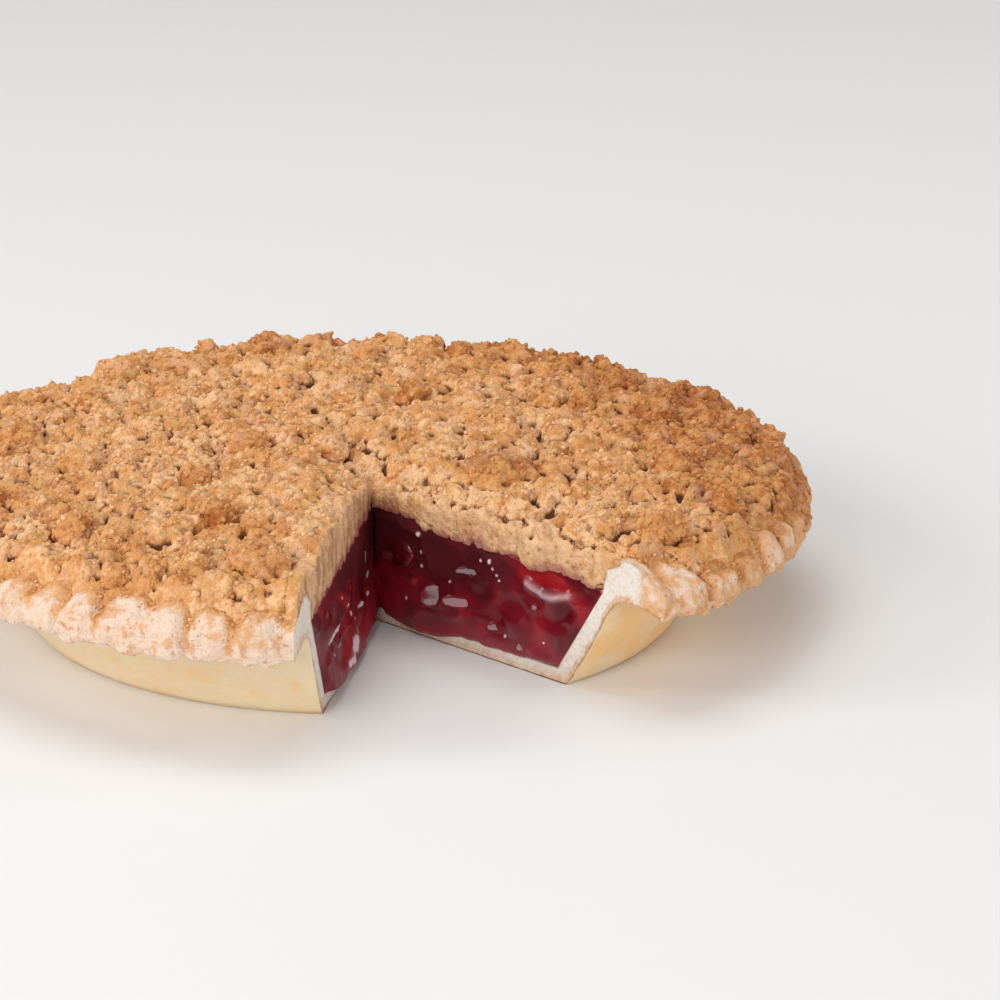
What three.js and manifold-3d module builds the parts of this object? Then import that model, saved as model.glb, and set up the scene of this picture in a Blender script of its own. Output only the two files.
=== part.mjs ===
// A round cherry pie with a crumb topping, baked in a pastry case, with one slice cut out.
// Millimetres, +Z up. The origin is the centre of the flat underside. The missing slice opens towards -Y.
import * as THREE from "three";
import { mergeVertices } from "three/addons/utils/BufferGeometryUtils.js";
import Module from "manifold-3d";

const wasm = await Module();
wasm.setup();

// Driving dimensions
const RIM_RADIUS = 119.5; // to the outside of the crimped edge
const BASE_RADIUS = 82.8; // the flat underside
const FLOOR_RADIUS = 80.4; // the pastry's floor, inside the case
const PASTRY = 3.8; // thickness of the pastry at the bottom
const WALL_TOP = { r: 100, z: 26 }; // where the sloping wall meets the underside of the rim
const WALL_INSIDE = { r: 95.7, z: 28.4 }; // the inner face of the wall, level with the filling
const RIM_TOP = 37.2; // crest of the rim
const RIM_HANG = 24.6; // lowest edge of the rim, which droops outside the wall
const FILLING_DOME = 2.6; // how much higher the filling stands in the middle than at the wall
const CRUMB_TOP = 41.5; // mean surface of the topping in the middle
const CRUMB_FALL = 2.6; // how much lower that surface lies over the rim
const CRUMB_RADIUS = 113; // how far the topping lies out over the rim
const GAP = 0.35; // between pieces that touch

// The cut: two upright planes that meet at a tip a little in front of the centre
const TIP = new THREE.Vector2(4.9, -14.6);
const CUT_LEFT = THREE.MathUtils.degToRad(-100.7);
const CUT_RIGHT = THREE.MathUtils.degToRad(-46.7);
const CUT_OPENING = CUT_RIGHT - CUT_LEFT;

// The crimped rim
const FLUTES = 60;
const STEPS_PER_FLUTE = 3; // one in the pressed groove and two on the lobe
const GROOVE_IN = 2.4; // how much nearer the middle the edge is at a groove
const BROKEN_BACK = { left: 2, right: 2 }; // how far the rim is broken back right beside each cut face
const CRUMB_BACK = { left: 3, right: 13 }; // how far the topping has fallen away from the rim there
const BROKEN_WIDTH = 6; // how far along the rim both reach

// Cherries that show at the cut, in a zigzag along each face
const CHERRY_RADIUS = 7.4;
const CHERRY_SINK = 5.2; // from the cut face in to a cherry's middle
const CHERRY_ROWS = [20.6, 12.2]; // heights of the upper and the lower row
const CHERRY_PITCH = 13.6;
const CHERRIES = { left: { first: 24, count: 4 }, right: { first: 11, count: 5 } };

// The filling between them swells out of the face
const SWELL = { first: 18, count: 3, size: new THREE.Vector3(4.4, 4.4, 8), sink: 2.4 };
const SWELL_ROWS = [13, 19];

// Where juice runs down over the foot of the right-hand face: place along it, half width, height of its end
const RUNS = [
  [14, 4.5, 1.2],
  [20, 5, 0.9],
  [26, 4, 1.8],
];
const RUN_TALL = 4.2; // half height

// The clumps of crumb that stand out, as [x, y, width]
const CLUMPS = [
  [37, -22, 22],
  [-23, -91, 16],
  [-4, 51, 14],
  [80, 28, 14],
  [76, -67, 13],
  [82, -18, 13],
  [-7, 2, 13],
  [-62, 70, 13],
  [-68, -62, 13],
  [-27, 2, 12],
  [-86, 12, 12],
  [-92, -38, 12],
  [-23, 96, 11],
  [72, 59, 11],
  [-33, -60, 11],
  [-70, -14, 11],
  [16, 45, 10],
  [-40, -26, 10],
  [94, -44, 10],
  [-70, 40, 10],
  [-37, 38, 9],
  [4, 86, 9],
  [61, 37, 9],
  [61, -5, 9],
];
const ROUND_CLUMP = 11.5; // a clump wider than this is rounder, with more sides
const CLUMP_TALL = 5; // the most that one stands up from the bed
const CLUMP_FOOT = 0.22; // how deep one sits in the bed, as a share of its half height
const SMALL_CLUMPS = 62; // places for smaller ones, spread evenly between those
const GOLDEN_ANGLE = Math.PI * (3 - Math.sqrt(5));

// The net of the crumb bed. Two points of its edge fall on each flute of the rim.
const BED_RINGS = FLUTES / 3;
const BED_ROUGH = 1.4; // how far its points stand above or below the mean surface
const BED_RISE = 2 * GAP + 0.5; // from the rim to its underside, which clears the flutes between its points

// A repeatable random number from 0 to 1 for each call
function randomFrom(seed) {
  let state = seed;
  return () => {
    state = (Math.imul(state, 1664525) + 1013904223) >>> 0;
    return state / 4294967296;
  };
}

function solidFrom(geometry) {
  const bare = geometry.clone();
  bare.deleteAttribute("normal");
  bare.deleteAttribute("uv");
  const merged = mergeVertices(bare, 1e-4);
  return new wasm.Manifold(
    new wasm.Mesh({
      numProp: 3,
      vertProperties: new Float32Array(merged.attributes.position.array),
      triVerts: new Uint32Array(merged.index.array),
    }),
  );
}

function meshFrom(solid, name, material) {
  const { numVert, numProp, vertProperties, triVerts } = solid.getMesh();
  const positions = new Float32Array(numVert * 3);
  for (let i = 0; i < numVert; i++)
    positions.set(vertProperties.subarray(i * numProp, i * numProp + 3), i * 3);
  const geometry = new THREE.BufferGeometry()
    .setAttribute("position", new THREE.BufferAttribute(positions, 3))
    .setIndex(new THREE.BufferAttribute(triVerts, 1));
  geometry.computeVertexNormals();
  const mesh = new THREE.Mesh(geometry, material);
  mesh.name = name;
  return mesh;
}

// A turned solid whose section may change with the angle. Each section is a list of [radius, height] that
// starts on the axis underneath, runs up the outside and ends on the axis on top.
function turned(sectionAt, steps) {
  const sections = [];
  for (let i = 0; i < steps; i++) sections.push(sectionAt((i / steps) * 2 * Math.PI));
  const rings = sections[0].length - 2;
  const positions = [0, 0, sections[0][0][1], 0, 0, sections[0][rings + 1][1]];
  sections.forEach((section, i) => {
    const angle = (i / steps) * 2 * Math.PI;
    for (let j = 1; j <= rings; j++) {
      const [r, z] = section[j];
      positions.push(r * Math.cos(angle), r * Math.sin(angle), z);
    }
  });
  const vertex = (i, j) => 2 + (i % steps) * rings + j;
  const index = [];
  for (let i = 0; i < steps; i++) {
    index.push(0, vertex(i + 1, 0), vertex(i, 0));
    for (let j = 0; j < rings - 1; j++) {
      index.push(vertex(i, j), vertex(i + 1, j), vertex(i + 1, j + 1));
      index.push(vertex(i, j), vertex(i + 1, j + 1), vertex(i, j + 1));
    }
    index.push(vertex(i, rings - 1), vertex(i + 1, rings - 1), 1);
  }
  const geometry = new THREE.BufferGeometry()
    .setAttribute("position", new THREE.Float32BufferAttribute(positions, 3))
    .setIndex(index);
  return solidFrom(geometry);
}

// The slice that is missing. narrower moves both of its faces into it by that much.
function slice(narrower = 0) {
  const reach = 200;
  const middle = (CUT_LEFT + CUT_RIGHT) / 2;
  const shift = narrower / Math.sin(CUT_OPENING / 2);
  const tip = TIP.clone().add(along(middle).multiplyScalar(shift));
  const outline = new THREE.Shape([
    tip,
    tip.clone().add(along(CUT_LEFT).multiplyScalar(reach)),
    tip.clone().add(along(CUT_RIGHT).multiplyScalar(reach)),
  ]);
  const prism = new THREE.ExtrudeGeometry(outline, { depth: 80, bevelEnabled: false });
  return solidFrom(prism.translate(0, 0, -10));
}

function along(angle) {
  return new THREE.Vector2(Math.cos(angle), Math.sin(angle));
}

// A cut face. at gives the point s along it from the tip, at height z, and depth out from it into the
// missing slice. behind gives how far a point lies behind the face.
function faceFrame(name, angle, turn) {
  const run = along(angle);
  const out = new THREE.Vector2(-run.y * turn, run.x * turn);
  return {
    name,
    at: (s, z, depth = 0) =>
      new THREE.Vector3(TIP.x + run.x * s + out.x * depth, TIP.y + run.y * s + out.y * depth, z),
    behind: (x, y) => (TIP.x - x) * out.x + (TIP.y - y) * out.y,
  };
}
const FACES = [faceFrame("left", CUT_LEFT, 1), faceFrame("right", CUT_RIGHT, -1)];

// How far a point lies behind the nearer cut face. It is negative inside the missing slice.
function behindCut(x, y) {
  return Math.max(...FACES.map((face) => face.behind(x, y)));
}

// How far something is broken back at an angle, from how far it is right beside each cut face
function brokenAt(angle, back) {
  const edge = along(angle).multiplyScalar(RIM_RADIUS);
  const share = (face) => face.behind(edge.x, edge.y) / BROKEN_WIDTH;
  return FACES.reduce((sum, face) => sum + back[face.name] * Math.exp(-(share(face) ** 2)), 0);
}

// A slow wave round the pie, so that nothing on it is quite round or level. It is lowest at the back.
function unevenness(angle) {
  const slow = 0.35 * Math.sin(3 * angle + 0.6) - 0.6 * Math.sin(angle);
  return slow + 0.3 * Math.sin(7 * angle + 2.1) + 0.15 * Math.sin(12 * angle);
}

// The top of the rim, from inside to outside. groove is 0 on a lobe of the crimped rim and 1 in the
// pressed groove beside it, and broken is how far the rim is broken back there.
function rimTop(groove, broken, wave) {
  const edge = RIM_RADIUS - 0.5 + 0.4 * wave - GROOVE_IN * groove - broken;
  const lip = (share) => WALL_TOP.r + share * (edge - WALL_TOP.r);
  return [
    [WALL_INSIDE.r + 1.2, RIM_TOP - 2.4],
    [lip(0.15), RIM_TOP - 0.6 * groove + wave],
    [lip(0.56), RIM_TOP - 1.9 - 2.2 * groove + wave],
    [lip(0.93), RIM_TOP - 6.2 - 1.6 * groove + wave],
    [lip(1), RIM_HANG + 3.2 + groove],
    [lip(0.82), RIM_HANG + 1.8 * groove],
  ];
}

// The section of the pastry case. grow thickens it all round.
function pastrySection(groove, broken, wave, grow) {
  const points = [
    [0, 0],
    [BASE_RADIUS, 0],
    [WALL_TOP.r, WALL_TOP.z],
    ...rimTop(groove, broken, wave).reverse(),
    [WALL_INSIDE.r, WALL_INSIDE.z],
    [FLOOR_RADIUS, PASTRY],
    [0, PASTRY],
  ];
  const last = points.length - 1;
  return points.map(([r, z], i) => {
    if (i === 0) return [0, z - grow];
    if (i === last) return [0, z + grow];
    const [before, after] = [points[i - 1], points[i + 1]];
    const run = new THREE.Vector2(after[0] - before[0], after[1] - before[1]).normalize();
    return [r + run.y * grow, z - run.x * grow];
  });
}

function pastry(grow = 0) {
  const steps = FLUTES * STEPS_PER_FLUTE;
  const whole = turned((angle) => {
    const step = Math.round((angle / (2 * Math.PI)) * steps);
    const groove = step % STEPS_PER_FLUTE === 0 ? 1 : 0;
    return pastrySection(groove, brokenAt(angle, BROKEN_BACK), unevenness(angle), grow);
  }, steps);
  return whole.subtract(slice(grow));
}

// The height of the filling's surface at a radius
function fillingTop(r) {
  return WALL_INSIDE.z + FILLING_DOME * (1 - r / WALL_INSIDE.r);
}

// A round lump: a ball with few sides, stretched to size and put in place, with its corners pushed in and
// out by up to rough, a share of its radius. Its underside is flat at foot, a share of its half height.
function lump(centre, size, detail, rough, random, foot = 1) {
  const ball = new THREE.IcosahedronGeometry(1, detail);
  ball.deleteAttribute("normal");
  ball.deleteAttribute("uv");
  const merged = mergeVertices(ball, 1e-4);
  const corners = merged.attributes.position;
  for (let i = 0; i < corners.count; i++) {
    const push = 1 + rough * (2 * random() - 1);
    const height = Math.max(-foot, corners.getZ(i) * push);
    corners.setXYZ(i, corners.getX(i) * push, corners.getY(i) * push, height);
  }
  const turn = new THREE.Matrix4().makeRotationFromEuler(new THREE.Euler(0, 0, random() * 2 * Math.PI));
  merged.applyMatrix4(turn);
  merged.scale(size.x, size.y, size.z);
  merged.translate(centre.x, centre.y, centre.z);
  return solidFrom(merged);
}

// The cherries that show at the cut. Each is a slightly flattened ball, a little proud of its face.
const cherryPlaces = FACES.flatMap((face, side) => {
  const { first, count } = CHERRIES[face.name];
  return Array.from({ length: count }, (_, i) => ({
    name: `cherry_${face.name}_${i + 1}`,
    centre: face.at(first + i * CHERRY_PITCH, CHERRY_ROWS[(i + side + 1) % 2], -CHERRY_SINK),
    radius: CHERRY_RADIUS - 0.4 * ((i * 7) % 3),
  }));
});

function cherry({ centre, radius }, grow = 0) {
  const ball = new THREE.IcosahedronGeometry(radius + grow, 1);
  ball.scale(1, 1, 0.93).translate(centre.x, centre.y, centre.z);
  return solidFrom(ball);
}

// The set fruit filling. It swells a little out of both cut faces, runs down over the pastry at the foot of
// the right-hand one, and has a seat for each cherry.
function filling() {
  const bottom = PASTRY + GAP;
  const side = WALL_INSIDE.r - GAP - 0.1;
  const body = turned(
    () => [
      [0, bottom],
      [FLOOR_RADIUS - GAP - 0.2, bottom],
      [side, fillingTop(side)],
      [0, fillingTop(0)],
    ],
    60,
  );
  let made = body.subtract(slice());
  const random = randomFrom(11);
  const soft = (place, size) => lump(place, size, 1, 0.08, random);
  for (const face of FACES)
    for (let i = 0; i < SWELL.count; i++) {
      const place = face.at(SWELL.first + i * CHERRY_PITCH, SWELL_ROWS[i % 2], -SWELL.sink);
      made = made.add(soft(place, SWELL.size));
    }
  const seat = pastry(GAP);
  for (const [s, wide, end] of RUNS) {
    const drop = soft(FACES[1].at(s, end + RUN_TALL, 0.6), new THREE.Vector3(wide, wide * 0.6, RUN_TALL));
    made = made.add(drop.subtract(seat));
  }
  for (const place of cherryPlaces) made = made.subtract(cherry(place, GAP));
  return largestOf(made);
}

function largestOf(solid) {
  return solid.decompose().reduce((a, b) => (a.volume() > b.volume() ? a : b));
}

// A round bed with an uneven top. The top is a net of triangles in rings, each with six more points than the
// ring inside it. From its edge a section, a list of [radius, height], runs down and in to the axis.
function bedFrom(rings, topAt, sectionAt) {
  const edge = 6 * rings;
  const angleOf = (ring, i) => (i / (6 * ring)) * 2 * Math.PI;
  const onTop = (ring, i) => (ring === 0 ? 0 : 1 + 3 * ring * (ring - 1) + (i % (6 * ring)));
  const positions = [...topAt(0, 0)];
  const index = [];
  for (let ring = 1; ring <= rings; ring++)
    for (let i = 0; i < 6 * ring; i++) positions.push(...topAt(ring / rings, angleOf(ring, i)));
  for (let ring = 1; ring <= rings; ring++)
    for (let sector = 0; sector < 6; sector++)
      for (let j = 0; j < ring; j++) {
        const inner = onTop(ring - 1, sector * (ring - 1) + j);
        const innerNext = onTop(ring - 1, sector * (ring - 1) + j + 1);
        const outer = onTop(ring, sector * ring + j);
        const outerNext = onTop(ring, sector * ring + j + 1);
        index.push(inner, outer, outerNext);
        if (j < ring - 1) index.push(inner, outerNext, innerNext);
      }
  const sections = Array.from({ length: edge }, (_, i) => sectionAt(angleOf(rings, i)));
  const levels = sections[0].length - 1;
  const below = positions.length / 3;
  sections.forEach((section, i) => {
    const way = along(angleOf(rings, i));
    for (const [r, z] of section.slice(0, levels)) positions.push(r * way.x, r * way.y, z);
  });
  const axis = positions.length / 3;
  positions.push(0, 0, sections[0][levels][1]);
  const under = (i, level) => (level < 0 ? onTop(rings, i) : below + (i % edge) * levels + level);
  for (let i = 0; i < edge; i++) {
    for (let level = 0; level < levels; level++) {
      index.push(under(i, level - 1), under(i, level), under(i + 1, level));
      index.push(under(i, level - 1), under(i + 1, level), under(i + 1, level - 1));
    }
    index.push(under(i, levels - 1), axis, under(i + 1, levels - 1));
  }
  const geometry = new THREE.BufferGeometry()
    .setAttribute("position", new THREE.Float32BufferAttribute(positions, 3))
    .setIndex(index);
  return solidFrom(geometry);
}

// The mean surface of the crumb topping at a radius
function crumbHeight(r) {
  return CRUMB_TOP - CRUMB_FALL * Math.max(0, (r - 50) / (CRUMB_RADIUS - 50)) ** 2;
}

// The crumb bed, which is thick in the middle, thins out over the rim and fills the grooves there
function crumbBed(random) {
  const either = (most) => most * (2 * random() - 1);
  const edgeAt = (angle) => CRUMB_RADIUS - brokenAt(angle, CRUMB_BACK);
  const atGroove = (angle) => Math.round((angle / Math.PI) * FLUTES) % 2 === 0;
  const topAt = (share, angle) => {
    const groove = share === 1 && atGroove(angle) ? 1 : 0;
    const r = share * (edgeAt(angle) - 1) + 1.6 * groove;
    const rough = Math.min(BED_ROUGH, 0.4 + 9 * (1 - share));
    const x = r * Math.cos(angle) + either(1.1);
    const y = r * Math.sin(angle) + either(1.1);
    return [x, y, crumbHeight(r) - 1.2 * groove + share * unevenness(angle) + either(rough)];
  };
  const sectionAt = (angle) => {
    const groove = atGroove(angle) ? 0.5 : 0;
    const rim = rimTop(groove, brokenAt(angle, BROKEN_BACK), unevenness(angle));
    const [inside, crest, fall] = rim.map(([r, z]) => new THREE.Vector2(r, z + BED_RISE));
    const edge = edgeAt(angle) - 0.5 + 2.4 * groove;
    const hem = crest.clone().lerp(fall, (edge - crest.x) / (fall.x - crest.x));
    return [
      [hem.x, hem.y],
      [crest.x, crest.y],
      [inside.x - 0.8, inside.y],
      [WALL_INSIDE.r - GAP - 0.2, WALL_INSIDE.z + GAP + 0.2],
      [0, fillingTop(0) + GAP + 0.1],
    ];
  };
  return bedFrom(BED_RINGS, topAt, sectionAt).subtract(slice());
}

// A clump of crumb, sitting in the bed
function clump(x, y, z, wide, random) {
  const deep = (wide / 2) * (0.75 + 0.25 * random());
  const size = new THREE.Vector3(wide / 2, deep, Math.min(wide * 0.38, CLUMP_TALL));
  return lump(new THREE.Vector3(x, y, z), size, wide > ROUND_CLUMP ? 1 : 0, 0.15, random, CLUMP_FOOT);
}

// The crumb topping: the bed with the clumps fused onto it
function crumbs() {
  const random = randomFrom(5);
  let made = crumbBed(random);
  for (const [x, y, wide] of CLUMPS) {
    made = made.add(clump(x, y, crumbHeight(Math.hypot(x, y)), wide, random));
  }
  for (let i = 0; i < SMALL_CLUMPS; i++) {
    const r = (CRUMB_RADIUS - 7) * Math.sqrt((i + 0.5) / SMALL_CLUMPS) + 1.5 * random();
    const { x, y } = along(i * GOLDEN_ANGLE + 0.5).multiplyScalar(r);
    const wide = 8 + 4 * random();
    const room = Math.min(...CLUMPS.map(([cx, cy, width]) => Math.hypot(x - cx, y - cy) - width / 2));
    if (behindCut(x, y) < wide / 2 || room < 2) continue;
    made = made.add(clump(x, y, crumbHeight(r) + 0.6 * random(), wide, random));
  }
  return largestOf(made);
}

const pie = new THREE.Group();
pie.name = "cherry_pie";

const pastryFinish = new THREE.MeshStandardMaterial({ color: 0xe9cfa6, roughness: 0.8, metalness: 0 });
const fillingFinish = new THREE.MeshStandardMaterial({ color: 0x5a0d18, roughness: 0.15, metalness: 0 });
const cherryFinish = new THREE.MeshStandardMaterial({ color: 0x8c1020, roughness: 0.2, metalness: 0 });
const crumbFinish = new THREE.MeshStandardMaterial({ color: 0xcf9a62, roughness: 0.9, metalness: 0 });

pie.add(meshFrom(pastry(), "crust", pastryFinish));
pie.add(meshFrom(filling(), "filling", fillingFinish));
for (const place of cherryPlaces) pie.add(meshFrom(cherry(place), place.name, cherryFinish));
pie.add(meshFrom(crumbs(), "crumb_topping", crumbFinish));

export default pie;
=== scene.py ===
"""The looks of a cherry pie with a crumb topping and one slice cut out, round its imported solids.

Lengths are in millimetres until a mesh is made. The pie stands on its base, centred on the origin, and the
missing slice opens towards -Y.
"""

import math

import bpy
import numpy as np
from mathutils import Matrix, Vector


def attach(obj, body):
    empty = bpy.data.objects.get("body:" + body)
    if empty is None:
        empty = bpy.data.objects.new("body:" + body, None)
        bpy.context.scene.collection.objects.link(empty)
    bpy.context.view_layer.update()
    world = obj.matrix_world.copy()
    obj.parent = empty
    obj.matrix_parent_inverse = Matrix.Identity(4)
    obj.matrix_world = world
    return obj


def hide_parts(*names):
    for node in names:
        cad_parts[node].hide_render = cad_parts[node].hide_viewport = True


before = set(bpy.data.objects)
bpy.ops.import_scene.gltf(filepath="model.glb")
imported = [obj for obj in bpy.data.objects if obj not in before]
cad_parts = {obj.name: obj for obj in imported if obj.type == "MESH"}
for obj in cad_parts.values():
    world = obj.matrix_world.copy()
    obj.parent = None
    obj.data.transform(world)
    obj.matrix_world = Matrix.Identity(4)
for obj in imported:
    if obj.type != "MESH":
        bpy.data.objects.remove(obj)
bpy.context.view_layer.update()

MM = 0.001
SEED = 20
HASH_STEPS = np.array([73856093, 19349663, 83492791])  # for a cell's x, y and z
HASH_ROUNDS = ((13, 1274126177), (15, 668265263))  # shift and factor
HASH_MASK = 0x7FFFFFFF

# The pastry case
BASE_RADIUS = 82.8
FLOOR_RADIUS = 80.4
PASTRY = 3.8  # its thickness at the bottom
WALL_TOP = (100.0, 26.0)  # radius and height where the wall meets the underside of the rim
WALL_INSIDE = (95.7, 28.4)  # the same on its inner side
RIM_RADIUS = 118.4
RIM_TOP = 37.2
RIM_HANG = 24.6  # the lowest edge of the rim
RIM_MIDDLE = 110.0
FLUTES = 60
GROOVE_IN = 1.5

# The missing slice: two upright planes that meet at a tip in front of the centre
TIP = np.array([4.9, -14.6])
CUT_LEFT = math.radians(-100.7)
CUT_RIGHT = math.radians(-46.7)
BROKEN_BACK = (2.0, 2.0)  # how far the rim is broken back beside the left and the right cut face
BROKEN_WIDTH = 6.0

# The filling and its cherries
FILLING_DOME = 2.6
CHERRY_RADIUS = 7.4
CHERRY_SINK = 5.2
CHERRY_ROWS = (20.6, 12.2)
CHERRY_PITCH = 13.6
CHERRIES = {"left": (24.0, 4), "right": (11.0, 5)}  # where the first one sits along its face, and how many
# How the top of the filling wanders along the right-hand face: place along it, height above the even surface
WANDER = ((0, 0.8), (10, 1.4), (15, 1.3), (19, -1.0), (32, -0.4), (46, 0.3), (53, -0.2), (57, -1.5),
          (61, -0.6), (66, 0.8), (72, 0.6), (80, -0.6))
# The lower edge of the filling on each face, where juice runs down over the pastry: place along it, height
FOOT = {
    "left": ((0, 4.3), (12, 2.5), (26, 0.9), (38, 1.1), (57, 2.1), (66, 3.9)),
    "right": ((0, 4.6), (2.5, 4.6), (6, 2.0), (12, 0.9), (22, 0.5), (28, 1.9), (32, 2.9), (48, 2.9),
              (65, 4.0)),
}
# Flat spots on the filling that face the front light: place along the face, height, half sizes
GLINT_SLOPES = (-0.66, -0.47)  # of those spots, along the face and upwards
GLINTS = {
    "left": (),
    "right": ((22.4, 12.2, 2.3, 2.6), (31.1, 12.4, 3.0, 1.2), (6.7, 19.3, 1.6, 1.1), (16.4, 14.5, 0.9, 0.9),
              (35.0, 21.6, 2.6, 0.8), (45.6, 9.3, 2.3, 1.0), (54.0, 6.2, 1.0, 1.0), (58.9, 18.0, 0.7, 0.7)),
}
DEEPEST = 2.6  # how far such a spot may reach into the filling
UNEVEN = {"left": 0.4, "right": 1.0}  # how strongly each face swells and folds
PAINTED_FLOOR_REFLECTION = {"left": 0.4**1.4, "right": 1.0}  # how strong the painted reflection of the pale floor is at each face's foot
# A fold in the right-hand face, with a painted highlight along it: its places along the face and its heights
FOLD = ((56.6, 24.0), (61.8, 22.1), (66.0, 22.4), (70.6, 23.8))
# Where a painted red glow stands for light coming through clear juice on each face: its places along the
# face and its heights, and how wide
RED_STREAK = {
    "left": (((50.0, 23.5), (44.5, 21.3), (39.0, 17.5), (35.0, 14.0), (31.0, 10.5), (29.0, 8.0)), 1.3),
    "right": (((55.0, 25.5), (68.0, 26.0), (74.0, 22.0), (75.5, 17.5)), 2.1),
}
# Painted highlights on the left-hand face, which is seen almost edge on: place along it, height, half sizes
PAINTED_SHINES = ((36.9, 6.5, 4.0, 1.9), (43.0, 4.4, 5.0, 1.2), (31.3, 8.4, 1.4, 1.0), (56.0, 15.6, 6.5, 0.5),
          (25.7, 13.0, 1.8, 1.1), (12.9, 21.5, 0.9, 1.6), (10.9, 16.0, 1.7, 0.8), (14.0, 11.8, 1.6, 0.7))
# Small bubbles on each face, raised a little, each with a painted highlight: place along it, height, radius
BUBBLES = {
    "left": ((44.5, 21.3, 0.6), (39.0, 17.5, 0.5), (35.0, 14.0, 0.6), (31.0, 11.2, 0.5), (58.5, 11.2, 0.5)),
    "right": ((17.4, 27.2, 0.6), (13.4, 22.8, 0.5), (18.4, 22.8, 0.5), (18.6, 19.1, 0.5), (13.3, 9.2, 0.6),
              (43.2, 26.2, 0.6), (46.8, 22.1, 0.4), (44.4, 24.6, 0.5), (45.9, 23.3, 0.4), (48.5, 7.7, 0.5),
              (9.6, 22.0, 0.5), (28.5, 17.2, 0.4), (39.5, 25.6, 0.4), (62.0, 9.4, 0.4)),
}

# The crumb topping
CRUMB_TOP = 41.5
CRUMB_FALL = 2.6
CRUMB_RADIUS = 112.0
CRUMB_ON_RIM = 97.0  # from this radius on, the topping lies on the rim
BED_PITCH = 0.7  # of the net that the bed is made on
BED_BACK = 1.8  # how far that net ends behind a cut face, which crumb_cut covers
BAND_STEPS = 5  # rows of that net down its edge
# How far the crumb has sunk at each cut face and how wide that is, and the same at the tip of the slice
SLUMP = {"left": (2.0, 6.5), "right": (5.0, 11.0)}
TIP_SLUMP = (8.6, 11.0)
TIP_REACH = {"left": 36.0, "right": 20.0}  # how far along each face the crumb is lower than farther out
CLUMP_PITCH = 0.7
CUT_PITCH = 0.46  # of the net that a cut face of the crumb is made on
# The clumps that stand out: place, width, and how brown they are
CLUMPS = (
    (37, -22, 22, 0.9), (-23, -91, 16, 0.6), (-4, 51, 14, 0.1), (80, 28, 14, 0.5), (76, -67, 13, 0.7),
    (82, -18, 13, 0.5), (-7, 2, 13, 0.4), (-62, 70, 13, 0.4), (-68, -62, 13, 0.6), (-27, 2, 12, 0.8),
    (-86, 12, 12, 0.5), (-92, -38, 12, 0.7), (-23, 96, 11, 0.9), (72, 59, 11, 0.8), (-33, -60, 11, 0.9),
    (-70, -14, 11, 0.4), (16, 45, 10, 0.9), (-40, -26, 10, 0.5), (94, -44, 10, 0.7), (-70, 40, 10, 0.4),
    (4, 86, 9, 0.6), (61, 37, 9, 0.5), (61, -5, 9, 0.6), (30, 89, 8, 0.9), (95, 46, 8, 1.0),
    (-37, 38, 9, -0.5), (47, -59, 8, -0.3),
)
LUMP_PITCH = 13.5  # between the smaller clumps
GRAIN_COUNT = 6400
RIM_GRAINS = 1000
GRAIN_TOP = 46.6  # the highest place of a grain

# The camera
EYE = (0.0, -1131.5, 400.8)
YAW = math.radians(1.929)  # towards +X
PITCH = math.radians(18.268)  # downwards
LENS = 165.24
SENSOR = 36.0


# ---- Numbers ----

def noise(points, size, number):
    """Smooth random values from -1 to 1 at some points, with bumps about size across. Each number gives a
    pattern of its own."""
    scaled = np.asarray(points, dtype=np.float64) / size
    cell = np.floor(scaled).astype(np.int64)
    part = scaled - cell
    part = part * part * (3 - 2 * part)
    total = np.zeros(scaled.shape[:-1])
    for corner in np.ndindex(2, 2, 2):
        at = (cell + np.array(corner)) * HASH_STEPS
        mixed = at[..., 0] ^ at[..., 1] ^ at[..., 2] ^ ((SEED + number) * 7919 + 13)
        for shift, factor in HASH_ROUNDS:
            mixed = (mixed ^ (mixed >> shift)) * factor & HASH_MASK
        weight = np.ones(total.shape)
        for axis in range(3):
            weight = weight * (part[..., axis] if corner[axis] else 1 - part[..., axis])
        total += weight * (mixed / (HASH_MASK // 2) - 1)
    return total


def stacked(*parts):
    """Points from their coordinates, which may be numbers or arrays."""
    return np.stack(np.broadcast_arrays(*parts), axis=-1)


def split(points):
    """The coordinates of points, each as an array."""
    return np.moveaxis(points, -1, 0)


def polar(x, y):
    """The radius and the angle of places."""
    return np.hypot(x, y), np.arctan2(y, x)


def near_zero(values, width):
    """1 at 0, falling off smoothly on both sides within about width."""
    return np.exp(-((values / width) ** 2))


def ease(values, low, high):
    """0 below low, 1 above high and smooth between. low may be the greater one."""
    share = np.clip((values - low) / (high - low), 0, 1)
    return share * share * (3 - 2 * share)


# ---- The pie's form ----

class Face:
    """One upright cut face. run points along it from the tip, out points into the missing slice."""

    def __init__(self, name, angle, turn):
        self.name = name
        self.run = np.array([math.cos(angle), math.sin(angle)])
        self.out = np.array([-self.run[1] * turn, self.run[0] * turn])

    def at(self, s, z, depth=0.0):
        """The point s along the face at height z, and depth out from it."""
        x = TIP[0] + self.run[0] * s + self.out[0] * depth
        y = TIP[1] + self.run[1] * s + self.out[1] * depth
        return stacked(x, y, z)

    def behind(self, x, y):
        """How far behind the face a point lies."""
        return (TIP[0] - x) * self.out[0] + (TIP[1] - y) * self.out[1]

    def place(self, x, y):
        """How far along the face a point lies."""
        return (x - TIP[0]) * self.run[0] + (y - TIP[1]) * self.run[1]


FACES = (Face("left", CUT_LEFT, 1), Face("right", CUT_RIGHT, -1))


# Where a ring of points round the pie ends: at its first and its last point, with the cut face there, and
# whether the net of that face is flipped
RING_ENDS = ((0, FACES[1], False), (-1, FACES[0], True))


def ring_ways(steps):
    """Directions from the tip of the slice, from the right-hand cut face round to the left-hand one."""
    turn = np.linspace(CUT_RIGHT, CUT_LEFT + 2 * math.pi, steps + 1)
    return stacked(np.cos(turn), np.sin(turn))


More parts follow.
